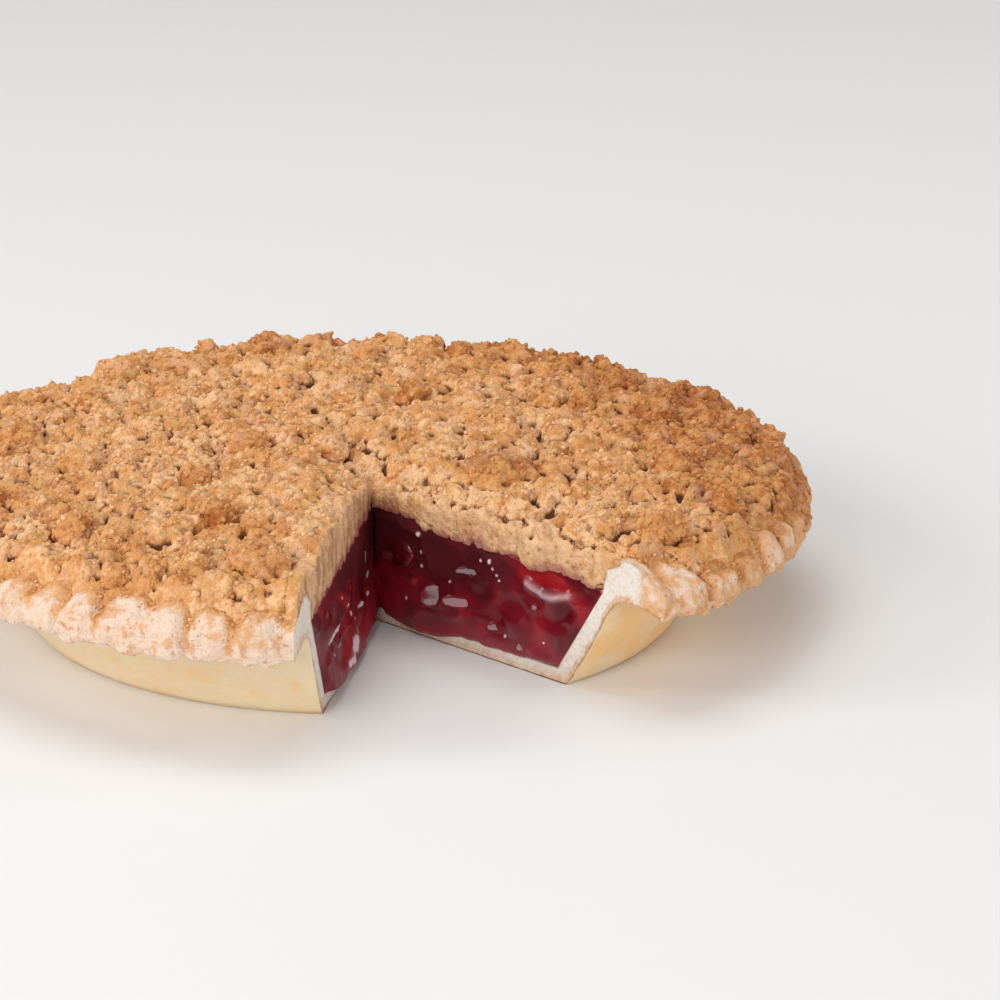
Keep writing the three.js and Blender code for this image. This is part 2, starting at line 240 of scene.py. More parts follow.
def on_circle(radius, way):
    """The places at a radius from the centre, seen from the tip of the slice in each direction."""
    ahead = way @ TIP
    reach = -ahead + np.sqrt(ahead**2 - TIP @ TIP + radius**2)
    return TIP + way * reach[..., None]


def fan(radius, way, shares):
    """The places at each of some shares of the distance from the tip of the slice out to a radius."""
    return TIP + (on_circle(radius, way) - TIP) * shares[:, None, None]


def lifted(places, height):
    return stacked(places[..., 0], places[..., 1], height)


def behind_cut(x, y):
    """How far a point lies behind the nearer cut face. It is negative inside the missing slice."""
    return np.maximum(FACES[0].behind(x, y), FACES[1].behind(x, y))


def unevenness(angle):
    """A slow wave round the pie, as its solids have it."""
    slow = 0.35 * np.sin(3 * angle + 0.6) - 0.6 * np.sin(angle)
    return slow + 0.3 * np.sin(7 * angle + 2.1) + 0.15 * np.sin(12 * angle)


def broken_at(angle):
    """How far the rim is broken back beside the cut faces."""
    x = RIM_RADIUS * np.cos(angle)
    y = RIM_RADIUS * np.sin(angle)
    total = np.zeros(np.shape(angle))
    for face, back in zip(FACES, BROKEN_BACK):
        total = total + back * near_zero(face.behind(x, y), BROKEN_WIDTH)
    return total


def groove_at(angle, wide):
    """1 in a pressed groove of the rim and 0 on the lobe beside it. Some grooves are pressed deeper."""
    turn = angle / (2 * math.pi) * FLUTES
    turn = turn + 0.18 - 0.16 * np.cos(3 * angle + 2) + 0.06 * np.sin(17 * angle)
    number = np.round(turn)
    return (0.74 + 0.26 * np.sin(2.4 * number)) * near_zero(turn - number, wide)


def rim_edge(angle):
    """The radius of the rim's outer edge. The grooves are narrow there."""
    return RIM_RADIUS + 0.4 * unevenness(angle) - GROOVE_IN * groove_at(angle, 0.13) - broken_at(angle)


def towards(edge, share):
    """A radius that far on the way from the top of the wall to an edge."""
    return WALL_TOP[0] + share * (edge - WALL_TOP[0])


def rim_top(angle):
    """The top of the rim, from its inner side out to its lip, as radii and heights."""
    pit = groove_at(angle, 0.17)
    wave = unevenness(angle)
    edge = rim_edge(angle)
    return (
        (WALL_INSIDE[0] + 1.2, RIM_TOP - 2.4),
        (towards(edge, 0.15), RIM_TOP - 0.6 * pit + wave),
        (towards(edge, 0.50), RIM_TOP - 1.4 - 2.0 * pit + wave),
        (towards(edge, 0.80), RIM_TOP - 3.5 - 2.0 * pit + wave),
        (towards(edge, 0.96), RIM_TOP - 6.2 - 1.2 * pit + wave),
        (towards(edge, 1.0), RIM_TOP - 9.4 - 0.4 * pit + 0.5 * wave),
    )


def rim_height(radius, angle):
    """The height of the top of the rim at a radius and an angle. It is far below the pie off the rim."""
    profile = (WALL_INSIDE,) + rim_top(angle)
    height = np.full(np.shape(radius), -50.0)
    for (r0, z0), (r1, z1) in zip(profile, profile[1:]):
        share = (radius - r0) / (r1 - r0)
        height = np.where((share >= 0) & (share <= 1), z0 + share * (z1 - z0), height)
    return height


def filling_top(x, y):
    """The height of the filling's surface. It wanders a little at the right-hand face."""
    even = WALL_INSIDE[1] + FILLING_DOME * (1 - np.hypot(x, y) / WALL_INSIDE[0])
    places, heights = zip(*WANDER)
    face = FACES[1]
    wander = np.interp(face.place(x, y), places, heights) * near_zero(face.behind(x, y), 6)
    return even + wander + 0.3 * noise(stacked(x, y, 0), 5, 0)


def crumb_height(radius):
    """The mean surface of the topping at a radius."""
    return CRUMB_TOP - CRUMB_FALL * np.maximum(0, (radius - 50) / (CRUMB_RADIUS - 50)) ** 2


def crumb_edge(angle):
    """How far out the topping lies on the rim. It runs further out in the grooves and towards +X, and less
    far beside the right-hand cut face."""
    ring = stacked(60 * np.cos(angle), 60 * np.sin(angle), 0)
    edge = CRUMB_RADIUS + 2.6 * noise(ring, 9, 1) + 1.6 * noise(ring, 3, 2)
    bare = 13 * near_zero(FACES[1].behind(RIM_MIDDLE * np.cos(angle), RIM_MIDDLE * np.sin(angle)), 9)
    beyond = 3.0 * ease(np.cos(angle), 0.72, 0.97)
    return np.minimum(edge + beyond + 3.0 * groove_at(angle, 0.2), rim_edge(angle) - 1.2) - bare


# ---- Meshes ----

class Builder:
    """Collects the vertices, faces and marks of one mesh. A mark is a number at each vertex."""

    def __init__(self, marks=()):
        self.points = []
        self.faces = []
        self.marks = {name: [] for name in marks}
        self.count = 0

    def add(self, points, **marks):
        """Adds an array of points and returns their numbers in the same layout."""
        points = np.asarray(points, dtype=np.float64)
        flat = points.reshape(-1, 3)
        self.points.append(flat)
        for name, lists in self.marks.items():
            values = np.broadcast_to(marks.get(name, 0.0), points.shape[:-1])
            lists.append(np.asarray(values, dtype=np.float64).reshape(-1))
        numbers = np.arange(self.count, self.count + len(flat)).reshape(points.shape[:-1])
        self.count += len(flat)
        return numbers

    def net(self, numbers, flip=False, closed=False):
        """Quads between the neighbours in a table of vertex numbers, whose rows may be closed rings."""
        if closed:
            numbers = np.concatenate([numbers, numbers[:, :1]], axis=1)
        quads = quads_between(numbers)
        self.faces.append(quads[:, ::-1] if flip else quads)

    def mesh(self, name):
        """A smooth-shaded object, in metres, with its marks as attributes."""
        points = np.concatenate(self.points) * MM
        sizes = np.concatenate([np.full(len(table), table.shape[1]) for table in self.faces])
        corners = np.concatenate([table.reshape(-1) for table in self.faces])
        starts = np.concatenate([[0], np.cumsum(sizes)[:-1]])
        mesh = bpy.data.meshes.new(name)
        mesh.vertices.add(len(points))
        mesh.vertices.foreach_set("co", points.astype(np.float32).reshape(-1))
        mesh.loops.add(len(corners))
        mesh.loops.foreach_set("vertex_index", corners.astype(np.int32))
        mesh.polygons.add(len(sizes))
        mesh.polygons.foreach_set("loop_start", starts.astype(np.int32))
        mesh.polygons.foreach_set("use_smooth", np.ones(len(sizes), dtype=bool))
        for mark, lists in self.marks.items():
            layer = mesh.attributes.new(mark, "FLOAT", "POINT")
            layer.data.foreach_set("value", np.concatenate(lists).astype(np.float32))
        mesh.update(calc_edges=True)
        mesh.validate()
        made = bpy.data.objects.new(name, mesh)
        bpy.context.scene.collection.objects.link(made)
        return made


def quads_between(numbers):
    return stacked(numbers[:-1, :-1], numbers[1:, :-1], numbers[1:, 1:], numbers[:-1, 1:]).reshape(-1, 4)


def surface_net(field, corner, pitch):
    """The surface round where a field on a grid is negative: one point in each cell that it passes through,
    and a quad round each grid edge that it crosses."""
    inside = field < 0
    shape = tuple(n - 1 for n in field.shape)
    window = lambda offset: tuple(slice(o, o + n) for o, n in zip(offset, shape))
    held = sum(inside[window(offset)].astype(np.int8) for offset in np.ndindex(2, 2, 2))
    mixed = (held > 0) & (held < 8)
    cells = np.argwhere(mixed)
    number = np.full(shape, -1, dtype=np.int64)
    number[mixed] = np.arange(len(cells))
    total = np.zeros((len(cells), 3))
    crossings = np.zeros(len(cells))
    for start in np.ndindex(2, 2, 2):
        for axis in range(3):
            if start[axis]:
                continue
            end = tuple(1 if i == axis else start[i] for i in range(3))
            first = field[tuple((cells + start).T)]
            last = field[tuple((cells + end).T)]
            crossed = (first < 0) != (last < 0)
            share = np.where(crossed, first / np.where(crossed, first - last, 1), 0)
            place = np.tile(np.array(start, dtype=np.float64), (len(cells), 1))
            place[:, axis] += share
            total[crossed] += place[crossed]
            crossings += crossed
    points = (cells + total / crossings[:, None]) * pitch + np.asarray(corner)
    quads = []
    for axis in range(3):
        ahead = [slice(None)] * 3
        here = [slice(None)] * 3
        ahead[axis] = slice(1, None)
        here[axis] = slice(None, -1)
        crossed = inside[tuple(here)] != inside[tuple(ahead)]
        edges = np.argwhere(crossed)
        u, v = (axis + 1) % 3, (axis + 2) % 3
        step_u, step_v = np.eye(3, dtype=np.int64)[[u, v]]
        ring = [edges - step_u - step_v, edges - step_v, edges, edges - step_u]
        table = np.stack([number[tuple(cell.T)] for cell in ring], axis=-1)
        outwards = inside[tuple(here)][tuple(edges.T)]
        quads += [table[outwards], table[~outwards][:, ::-1]]
    return points, np.concatenate(quads)


def border_loop(quads):
    """The vertices round the edge of a net of quads, in order."""
    edges = np.concatenate([quads[:, [i, (i + 1) % 4]] for i in range(4)])
    size = quads.max() + 1
    codes = edges[:, 0] * size + edges[:, 1]
    single = edges[~np.isin(codes, edges[:, 1] * size + edges[:, 0])]
    ahead = {int(a): int(b) for a, b in single}
    loops = []
    while ahead:
        loop = []
        at = next(iter(ahead))
        while at in ahead:
            loop.append(at)
            at = ahead.pop(at)
        loops.append(loop)
    return np.array(max(loops, key=len))


def blurred(table, reach):
    """A table or a volume averaged over a box of reach cells each way."""
    for axis in range(table.ndim):
        pad = [(0, 0)] * table.ndim
        pad[axis] = (reach + 1, reach)
        total = np.cumsum(np.pad(table, pad, mode="edge"), axis=axis, dtype=np.float64)
        low = np.arange(table.shape[axis])
        across = 2 * reach + 1
        table = (np.take(total, low + across, axis=axis) - np.take(total, low, axis=axis)) / across
    return table


def skin(field, corner, pitch, reach):
    """The surface round where a field is negative, closed at the grid's border, and how full of the inside a
    box of reach cells each way is round each of its points."""
    inner = (slice(1, -1),) * 3
    shut = np.ones(field.shape)
    shut[inner] = field[inner]
    points, quads = surface_net(shut, corner, pitch)
    fullness = blurred((shut < 0).astype(np.float32), reach)
    at = np.rint((points - np.asarray(corner)) / pitch).astype(np.int64)
    at = np.clip(at, 0, np.array(field.shape) - 1)
    return points, quads, fullness[tuple(at.T)]


def surface_of(piece):
    """The points, the normals and the painted crevice shade of a piece, in millimetres."""
    mesh = piece.data
    count = len(mesh.vertices)
    tables = [np.empty(count * 3), np.empty(count * 3), np.empty(count)]
    mesh.vertices.foreach_get("co", tables[0])
    mesh.vertices.foreach_get("normal", tables[1])
    mesh.attributes["hollow"].data.foreach_get("value", tables[2])
    return tables[0].reshape(-1, 3) / MM, tables[1].reshape(-1, 3), tables[2]


def icosahedron():
    """The 12 corners and 20 faces of an icosahedron of radius 1."""
    golden = (1 + math.sqrt(5)) / 2
    corners = []
    for a in (-1, 1):
        for b in (-golden, golden):
            corners += [(0, a, b), (a, b, 0), (b, 0, a)]
    corners = np.array(corners) / math.hypot(1, golden)
    faces = []
    near = lambda i, j: np.linalg.norm(corners[i] - corners[j]) < 1.1
    for i in range(12):
        for j in range(i + 1, 12):
            for k in range(j + 1, 12):
                if not (near(i, j) and near(j, k) and near(i, k)):
                    continue
                outwards = np.dot(np.cross(corners[j] - corners[i], corners[k] - corners[i]), corners[i]) > 0
                faces.append((i, j, k) if outwards else (i, k, j))
    return corners, np.array(faces)


def turned_by(shapes, quaternions):
    """Each shape turned by its own quaternion."""
    w, x, y, z = (quaternions / np.linalg.norm(quaternions, axis=1, keepdims=True)).T
    matrix = np.array([
        [1 - 2 * (y * y + z * z), 2 * (x * y - z * w), 2 * (x * z + y * w)],
        [2 * (x * y + z * w), 1 - 2 * (x * x + z * z), 2 * (y * z - x * w)],
        [2 * (x * z - y * w), 2 * (y * z + x * w), 1 - 2 * (x * x + y * y)],
    ])
    return np.einsum("ijn,nkj->nki", matrix, shapes)


# ---- The crumb topping ----

def spread(rng, pitch, shake):
    """Places all over the topping, about pitch apart and a little irregular."""
    steps = int((CRUMB_RADIUS + 4) / pitch) + 2
    rows, columns = np.meshgrid(np.arange(-steps, steps + 1), np.arange(-steps, steps + 1), indexing="ij")
    x = (columns + 0.5 * (rows % 2)) * pitch + rng.uniform(-shake, shake, rows.shape)
    y = rows * pitch * 0.87 + rng.uniform(-shake, shake, rows.shape)
    near = np.hypot(x, y) < CRUMB_RADIUS + 4
    return x[near], y[near]


# The lumps of the bed, coarse ones first: pitch, least and most width, and the span of their lift
BED_LUMPS = ((15, 9, 14, (-3.0, -0.6)), (7.2, 6.0, 10.4, (-2.7, 0.9)), (4.6, 3.4, 5.8, (-2.4, 0.9)))
LUMP_TINT = 0.2  # how much browner or paler than its surroundings a lump can be
KNOB_PITCH = 2.0  # between the knobs on the lumps
KNOB_SIZES = (0.9, 1.7)
KNOB_LIFTS = (-0.85, -0.1)  # of a knob's size, from the surface to its middle
LUMP_TALLEST = 3.6
CLUMP_TALLEST = 5.4
BROWN_SPAN = (-0.3, 1)  # from the palest crumb to the brownest
MOAT_DEPTH = 2.3  # of the hollows round the feet of the clumps
MOAT_WIDTH = 1.9
SHALLOW = 0.8  # how deep the crevices are beside a cut face, where the crumb is pressed together
# the first mark is painted shade that darkens the crevices
CRUMB_MARKS = ("hollow", "brown", "stain", "cut")


class CrumbBed:
    """The bed of the topping, as heights on a square grid of places."""

    def __init__(self):
        rng = np.random.default_rng(SEED + 1)
        self.axis = np.arange(-RIM_RADIUS, RIM_RADIUS + BED_PITCH, BED_PITCH)
        self.x, self.y = np.meshgrid(self.axis, self.axis, indexing="ij")
        self.flat = stacked(self.x, self.y, 0)
        self.radius, self.angle = polar(self.x, self.y)
        self.cut = behind_cut(self.x, self.y)
        self.warped_x = self.x + 0.5 * noise(self.flat, 2.4, 3) + 0.8 * noise(self.flat, 6, 4)
        self.warped_y = self.y + 0.5 * noise(self.flat, 2.4, 5) + 0.8 * noise(self.flat, 6, 6)
        rim = rim_height(self.radius, self.angle)
        inside = self.radius < WALL_INSIDE[0]
        self.under = np.where(inside, filling_top(self.x, self.y) - 0.3, np.maximum(rim, RIM_HANG + 4) - 0.7)
        self.room = np.where(inside | (rim > 0), crumb_edge(self.angle) - self.radius, -9)
        self.mean = self.mean_height()
        self.tint = np.zeros(self.x.shape)
        height = self.with_knobs(self.with_lumps(rng), rng)
        hem = np.where(inside, -99, rim) - 1.7 + 1.6 * np.maximum(self.room, 0)
        hem = hem + 0.4 * noise(self.flat, 1.8, 9)
        height = np.where((self.radius > CRUMB_ON_RIM) & (self.room < 8), np.minimum(height, hem), height)
        height = np.where(self.room < 2, height, np.maximum(height, self.under + 0.1))
        self.around = blurred(height, int(2.6 / BED_PITCH))
        deepest = SHALLOW + 9 * np.maximum(ease(self.cut, 5, 13), ease(self.room, 7, 4))
        self.height = np.maximum(height, self.around - deepest)

    def mean_height(self):
        """The slow form of the bed, which thins out over the rim."""
        mean = crumb_height(self.radius) + 1.0 * noise(self.flat, 17, 7) + 0.6 * unevenness(self.angle)
        mean = mean - self.slump() - self.moats()
        thin = rim_height(np.minimum(self.radius, RIM_RADIUS - 3.5), self.angle) + 0.9
        on_rim = thin + (np.maximum(mean, thin) - thin) * ease(self.room, 0.5, 9)
        return np.where(self.radius > CRUMB_ON_RIM, on_rim, mean)

    def with_lumps(self, rng):
        """The heights of the lumps, which also get their tints."""
        height = self.mean - 2.6 * ease(self.room, 0, 4) - 0.3
        for pitch, low, high, lift in BED_LUMPS:
            xs, ys = spread(rng, pitch, 0.42 * pitch)
            spans = ((low, high), lift, (-LUMP_TINT, LUMP_TINT))
            draws = [rng.uniform(*span, len(xs)) for span in spans]
            for x, y, wide, up, tint in zip(xs, ys, *draws):
                level = self.value(self.mean, x, y) + up * float(ease(self.value(self.room, x, y), 0, 6))
                self.raise_dome(height, x, y, level, 0.5 * wide, min(0.45 * wide, LUMP_TALLEST), tint=tint)
        return height

    def with_knobs(self, height, rng):
        """Those heights with small knobs all over."""
        knobs = height - 0.6
        xs, ys = spread(rng, KNOB_PITCH, 0.95)
        draws = [rng.uniform(*span, len(xs)) for span in (KNOB_SIZES, KNOB_LIFTS)]
        for x, y, size, lift in zip(xs, ys, *draws):
            self.raise_dome(knobs, x, y, self.value(height, x, y) + lift * size, size, 0.95 * size, rise=0)
        return knobs + 0.1 * noise(self.flat, 0.9, 8)

    def moats(self):
        """The hollows round the feet of the clumps that stand out."""
        total = np.zeros(self.x.shape)
        for x, y, wide, _ in CLUMPS:
            away = np.hypot(self.x - x, self.y - y) - 0.5 * wide - 0.6
            total = np.maximum(total, MOAT_DEPTH * near_zero(away, MOAT_WIDTH))
        return total

    def slump(self):
        """How much lower the crumb lies beside the cut faces, and in the cleft behind their tip."""
        right = FACES[1].behind(self.x, self.y) > FACES[0].behind(self.x, self.y)
        loose = 0.9 + 0.3 * noise(self.flat, 4, 10)
        total = np.zeros(self.x.shape)
        for face, mine in zip(FACES, (~right, right)):
            near = ease(face.place(self.x, self.y), TIP_REACH[face.name], 2)
            drop, wide = ((1 - near) * far + near * tip for far, tip in zip(SLUMP[face.name], TIP_SLUMP))
            total = np.where(mine, drop * loose * ease(self.cut, wide, 0), total)
        back = self.y - TIP[1]
        aside = self.x - TIP[0] + 0.8 * noise(self.flat, 2.5, 11)
        sunk = TIP_SLUMP[0] * near_zero(np.hypot(aside, 0.8 * back), TIP_SLUMP[1])
        total = np.maximum(total, sunk) + 0.1 * np.minimum(total, sunk)
        return total + 3.0 * near_zero(aside, 1.1) * ease(back, -2, 0) * ease(back, 8, 3)

    def cell(self, x, y):
        """The place in the grid that is nearest to a point."""
        steps = (np.rint((np.asarray(v) - self.axis[0]) / BED_PITCH).astype(int) for v in (x, y))
        return tuple(np.clip(n, 0, len(self.axis) - 1) for n in steps)

    def value(self, table, x, y):
        return table[self.cell(x, y)]

    def smooth_value(self, table, x, y):
        """The value between the places of the grid."""
        u, v = ((place - self.axis[0]) / BED_PITCH for place in (x, y))
        i, j = (np.clip(np.floor(n).astype(int), 0, len(self.axis) - 2) for n in (u, v))
        u, v = np.clip(u - i, 0, 1), np.clip(v - j, 0, 1)
        near = table[i, j] * (1 - v) + table[i, j + 1] * v
        return near * (1 - u) + (table[i + 1, j] * (1 - v) + table[i + 1, j + 1] * v) * u

    def raise_dome(self, height, x, y, level, half, tall, rise=-0.4, tint=None):
        """Lifts the heights to a dome of that half width and height. Its foot is at level + rise * tall."""
        reach = int((half + 1.4) / BED_PITCH) + 1
        i, j = self.cell(x, y)
        part = slice(max(i - reach, 0), i + reach + 1), slice(max(j - reach, 0), j + reach + 1)
        away = ((self.warped_x[part] - x) ** 2 + (self.warped_y[part] - y) ** 2) / half**2
        dome = level + rise * tall + tall * np.sqrt(np.maximum(0, 1 - away))
        raised = (away < 1) & (dome > height[part])
        height[part] = np.where(raised, dome, height[part])
        if tint is not None:
            self.tint[part] = np.where(raised, tint, self.tint[part])

    def hollow(self, points):
        """How deep in a crevice each point lies, from the heights round it, as painted shade that darkens
        the crevices.
        """
        x, y, z = split(points)
        deep = (self.value(self.around, x, y) - z) / 2.0
        return deep * ease(behind_cut(x, y), 0.0, 8.0) * ease(self.value(self.room, x, y), 0.8, 3.5)


def brownness(points):
    """How brown the topping is baked at each point, from its clumps and its place on the pie."""
    x, y, _ = split(points)
    radius = np.hypot(x, y)
    brown = 0.33 + 0.18 * noise(points, 12, 12) + 0.16 * noise(points, 4.5, 13)
    brown = brown + 0.46 * ease(x + 0.4 * y, 46, 112) + 0.12 * ease(radius, 80, 112)
    brown = brown - 0.04 * ease(behind_cut(x, y), 12, 0) * ease(radius, 105, 60)
    for clump_x, clump_y, wide, toast in CLUMPS:
        near = ease(np.hypot(x - clump_x, y - clump_y), 0.58 * wide, 0.44 * wide)
        brown = brown + near * (toast - 0.35) * 0.8
    return np.clip(brown, *BROWN_SPAN)


def crumb_marks(points, hollow, tint=0.0):
    """The marks of the topping. What stands out is baked browner, and tint is a browning of its own."""
    x, y, z = split(points)
    radius = np.hypot(x, y)
    behind = behind_cut(x, y)
    ragged = 1.5 * noise(points, 2.5, 14) + 1.2 * noise(points, 6, 18)
    raised = np.clip(0.06 * (z - crumb_height(radius)), -0.16, 0.16) * ease(radius, 102, 92)
    return {
        # painted shade, darker in the crevices
        "hollow": hollow,
        "brown": np.clip(brownness(points) + raised + tint, *BROWN_SPAN),
        "stain": ease(z - filling_top(x, y) + ragged, 2.6, 0.2) * ease(behind, 3.0, 1.0),
        "cut": ease(behind, 0.9, 0.3),
    }


def crumb_bed_piece(bed):
    """The bed: its top, its cut faces and an underside that the filling and the rim hide."""
    kept = (bed.cut > BED_BACK) & (bed.room > 0)
    number = np.full(kept.shape, -1, dtype=np.int64)
    number[kept] = np.arange(int(kept.sum()))
    quads = quads_between(number)
    quads = quads[np.all(quads >= 0, axis=1)]
    dip = 0.9 * ease(bed.cut, BED_BACK + 1.7, BED_BACK + 0.8)
    top = stacked(bed.x, bed.y, bed.height - dip)[kept]
    made = Builder(CRUMB_MARKS)
    made.add(top, **crumb_marks(top, bed.hollow(top), bed.tint[kept]))
    made.faces.append(quads)
    border = border_loop(quads)
    x, y, z = split(top[border])
    low = np.minimum(bed.value(bed.under, x, y) - 1.6, z - 0.2)
    share = np.linspace(0, 1, BAND_STEPS + 1)[1:, None]
    wall = stacked(x, y, z + (low - z) * share)
    numbers = np.concatenate([border[None], made.add(wall, **crumb_marks(wall, 0.1))])
    made.net(numbers, flip=True, closed=True)
    made.faces.append(made.add(wall[-1:])[:, ::-1])
    return made.mesh("crumb_bed")


# The grid of a cut face of the crumb: from where to where along it, upwards and outwards
CUT_SPANS = ((-3.0, 112.0), (25.5, 45.0), (-4.2, 1.8))
# The looks of each cut face: how round its upper edge is, how far its solid core lies back, how many
# granules a square millimetre has, how much they are drawn out upwards, and how strong a cut's colour is
CUT_LOOKS = {
    "left": {"edge": 2.8, "back": 1.1, "density": 0.4, "stretch": 0.55, "tone": 1.0},
    "right": {"edge": 3.2, "back": 2.2, "density": 0.55, "stretch": 1.0, "tone": 0.35},
}


def crumb_cut_field(bed, face, axes):
    """A field on the grid of a cut face, negative in the crumb. The knife has smeared the left-hand face."""
    edge = CUT_LOOKS[face.name]["edge"]
    s, z, d = np.meshgrid(*axes, indexing="ij", sparse=True)
    grid = face.at(s, z, d)
    x, y, _ = split(face.at(s[:, 0], 0, np.minimum(d[:, 0], -BED_BACK - 0.5)))
    top, foot, room = (bed.smooth_value(table, x, y)[:, None] for table in (bed.height, bed.under, bed.room))
    over = np.clip(d + edge, 0, edge)
    top = top - (edge - np.sqrt(np.maximum(edge**2 - over**2, 0)))
    foot = foot - 0.4
    uneven = 0.45 * noise(grid, 2.2, 15)
    covered = top - 0.05 - 0.8 * ease(d, -3.0, -3.8)
    core = d + CUT_LOOKS[face.name]["back"] + uneven
    field = np.maximum.reduce([core, z - covered + 0.3 * uneven, foot - z])
    fuse_granules(field, face, axes, foot[:, 0, 0], top[:, 0, -5])
    if face.name == "left":
        streaks = 0.4 * noise(grid * np.array([1, 1, 0.2]), 1.5, 16)
        field = np.maximum(field, d + 0.1 + streaks)
    field = field + 0.32 * noise(grid, 1.0, 17)
    return np.maximum(np.maximum(field, foot - z - 0.2), np.maximum(0.4 - room, d - 0.6))


def fuse_granules(field, face, axes, lows, highs):
    """Adds granules to the field of a cut face, between its lowest and highest place at each step along."""
    look = CUT_LOOKS[face.name]
    rng = np.random.default_rng(SEED + 41 + FACES.index(face))
    s, z, d = np.meshgrid(*axes, indexing="ij", sparse=True)
    count = int(s.size * z.size * CUT_PITCH**2 * look["density"])
    for place, level, back in zip(rng.uniform(-2, 110, count), rng.uniform(0, 1, count), rng.random(count)):
        i = int((place - axes[0][0]) / CUT_PITCH)
        radius = 0.7 + 1.4 * rng.random() ** 1.5
        height = lows[i] + 0.2 + level * (highs[i] - lows[i] - 0.2)
        depth = -0.35 * radius - 1.5 * back**1.3
        reach = int((radius + 1) / CUT_PITCH) + 1
        k = int((height - axes[1][0]) / CUT_PITCH)
        near_s, near_z = (slice(max(n - reach, 0), n + reach) for n in (i, k))
        upwards = look["stretch"] * (z[:, near_z] - height)
        away = np.sqrt((s[near_s] - place) ** 2 + upwards**2 + (d - depth) ** 2)
        field[near_s, near_z] = np.minimum(field[near_s, near_z], away - radius)


def crumb_cut_piece(bed):
    """The cut faces of the topping: granules pressed together, with pores, and a crumbled upper edge."""
    made = Builder(CRUMB_MARKS)
    axes = [np.arange(low, high, CUT_PITCH) for low, high in CUT_SPANS]
    for face in FACES:
        at, quads, fullness = skin(crumb_cut_field(bed, face, axes), (0, 0, 0), 1.0, 3)
        points = face.at(*(axis[0] + CUT_PITCH * steps for axis, steps in zip(axes, split(at))))
        # the fullness round each point gives the painted shade of its crevices
        marks = crumb_marks(points, 1.7 * fullness - 0.8)
        marks["cut"] = marks["cut"] * CUT_LOOKS[face.name]["tone"]
        numbers = made.add(points, **marks)
        made.faces.append(numbers[quads[:, ::-1]] if face.name == "left" else numbers[quads])
    return made.mesh("crumb_cut")


def clump_skin(rng, x, y, z, wide, tall, foot):
    """The surface of one clump: a core with knobs fused over it, cut off flat at foot below its middle."""
    half = 0.5 * wide
    corner = np.array([x - half - 2.4, y - half - 2.4, z - foot - 0.9])
    spans = (wide + 4.8, wide + 4.8, tall + foot + 3.9)
    axes = [low + CLUMP_PITCH * np.arange(int(span / CLUMP_PITCH)) for low, span in zip(corner, spans)]
    grid = stacked(*np.meshgrid(*axes, indexing="ij"))
    warped = grid + 0.45 * stacked(*(noise(grid, 2.6, 80 + i) for i in range(3)))
    turn = rng.uniform(0, math.pi)
    cos, sin = math.cos(turn), math.sin(turn)
    own_axes = np.array([[cos, sin, 0], [-sin, cos, 0], [0, 0, 1]])
    sizes = np.array([half - 0.6, (half - 0.6) * rng.uniform(0.72, 1.0), tall - 0.5])
    centre = np.array([x, y, z])
    inner = (warped - centre) @ own_axes.T / sizes
    field = (np.linalg.norm(inner, axis=-1) - 1) * sizes.min()
    for _ in range(int(0.3 * wide * wide) + 8):
        lift = rng.uniform(-0.25, 1.0)
        level = math.sqrt(1 - lift * lift)
        angle = rng.uniform(0, 2 * math.pi)
        way = np.array([level * math.cos(angle), level * math.sin(angle), lift])
        spot = centre + way * sizes * rng.uniform(0.86, 0.97) @ own_axes
        field = np.minimum(field, np.linalg.norm(warped - spot, axis=-1) - rng.uniform(0.8, 1.5))
    field = field + 0.16 * noise(grid, 1.2, 84)
    field = np.maximum(field, z - foot - grid[..., 2])
    field = np.maximum(field, 0.5 - behind_cut(grid[..., 0], grid[..., 1]))
    return skin(field, corner, CLUMP_PITCH, 2)


def crumb_clump_piece(bed):
    """The clumps that stand out, those named and smaller ones between them."""
    rng = np.random.default_rng(SEED + 2)
    made = Builder(CRUMB_MARKS)
    places = [(x, y, wide) for x, y, wide, _ in CLUMPS]
    xs, ys = spread(rng, LUMP_PITCH, 0.45 * LUMP_PITCH)
    for x, y, wide in zip(xs, ys, rng.uniform(4.6, 8.8, len(xs))):
        clear = min(math.hypot(x - cx, y - cy) - 0.5 * w for cx, cy, w, _ in CLUMPS)
        if clear > 0.3 * wide and bed.value(bed.room, x, y) > 0.6 * wide and behind_cut(x, y) > 0.3 * wide:
            places.append((x, y, wide))
    for number, (x, y, wide) in enumerate(places):
        named = number < len(CLUMPS)
        steep, sunk, foot = (0.42, 0.0, 2.7) if named else (0.38, rng.uniform(0.0, 1.2), 1.7)
        tall = min(steep * wide + 1.0, CLUMP_TALLEST)
        level = bed.value(bed.mean, x, y) - sunk
        points, quads, fullness = clump_skin(rng, x, y, level, wide, tall, foot)
        if not len(points):
            continue
        tint = 0.0 if named else rng.uniform(-LUMP_TINT, LUMP_TINT)
        # the fullness round each point gives the painted shade of its crevices
        numbers = made.add(points, **crumb_marks(points, 2 * fullness - 1, tint))
        made.faces.append(numbers[quads])
    return made.mesh("crumb_clumps")


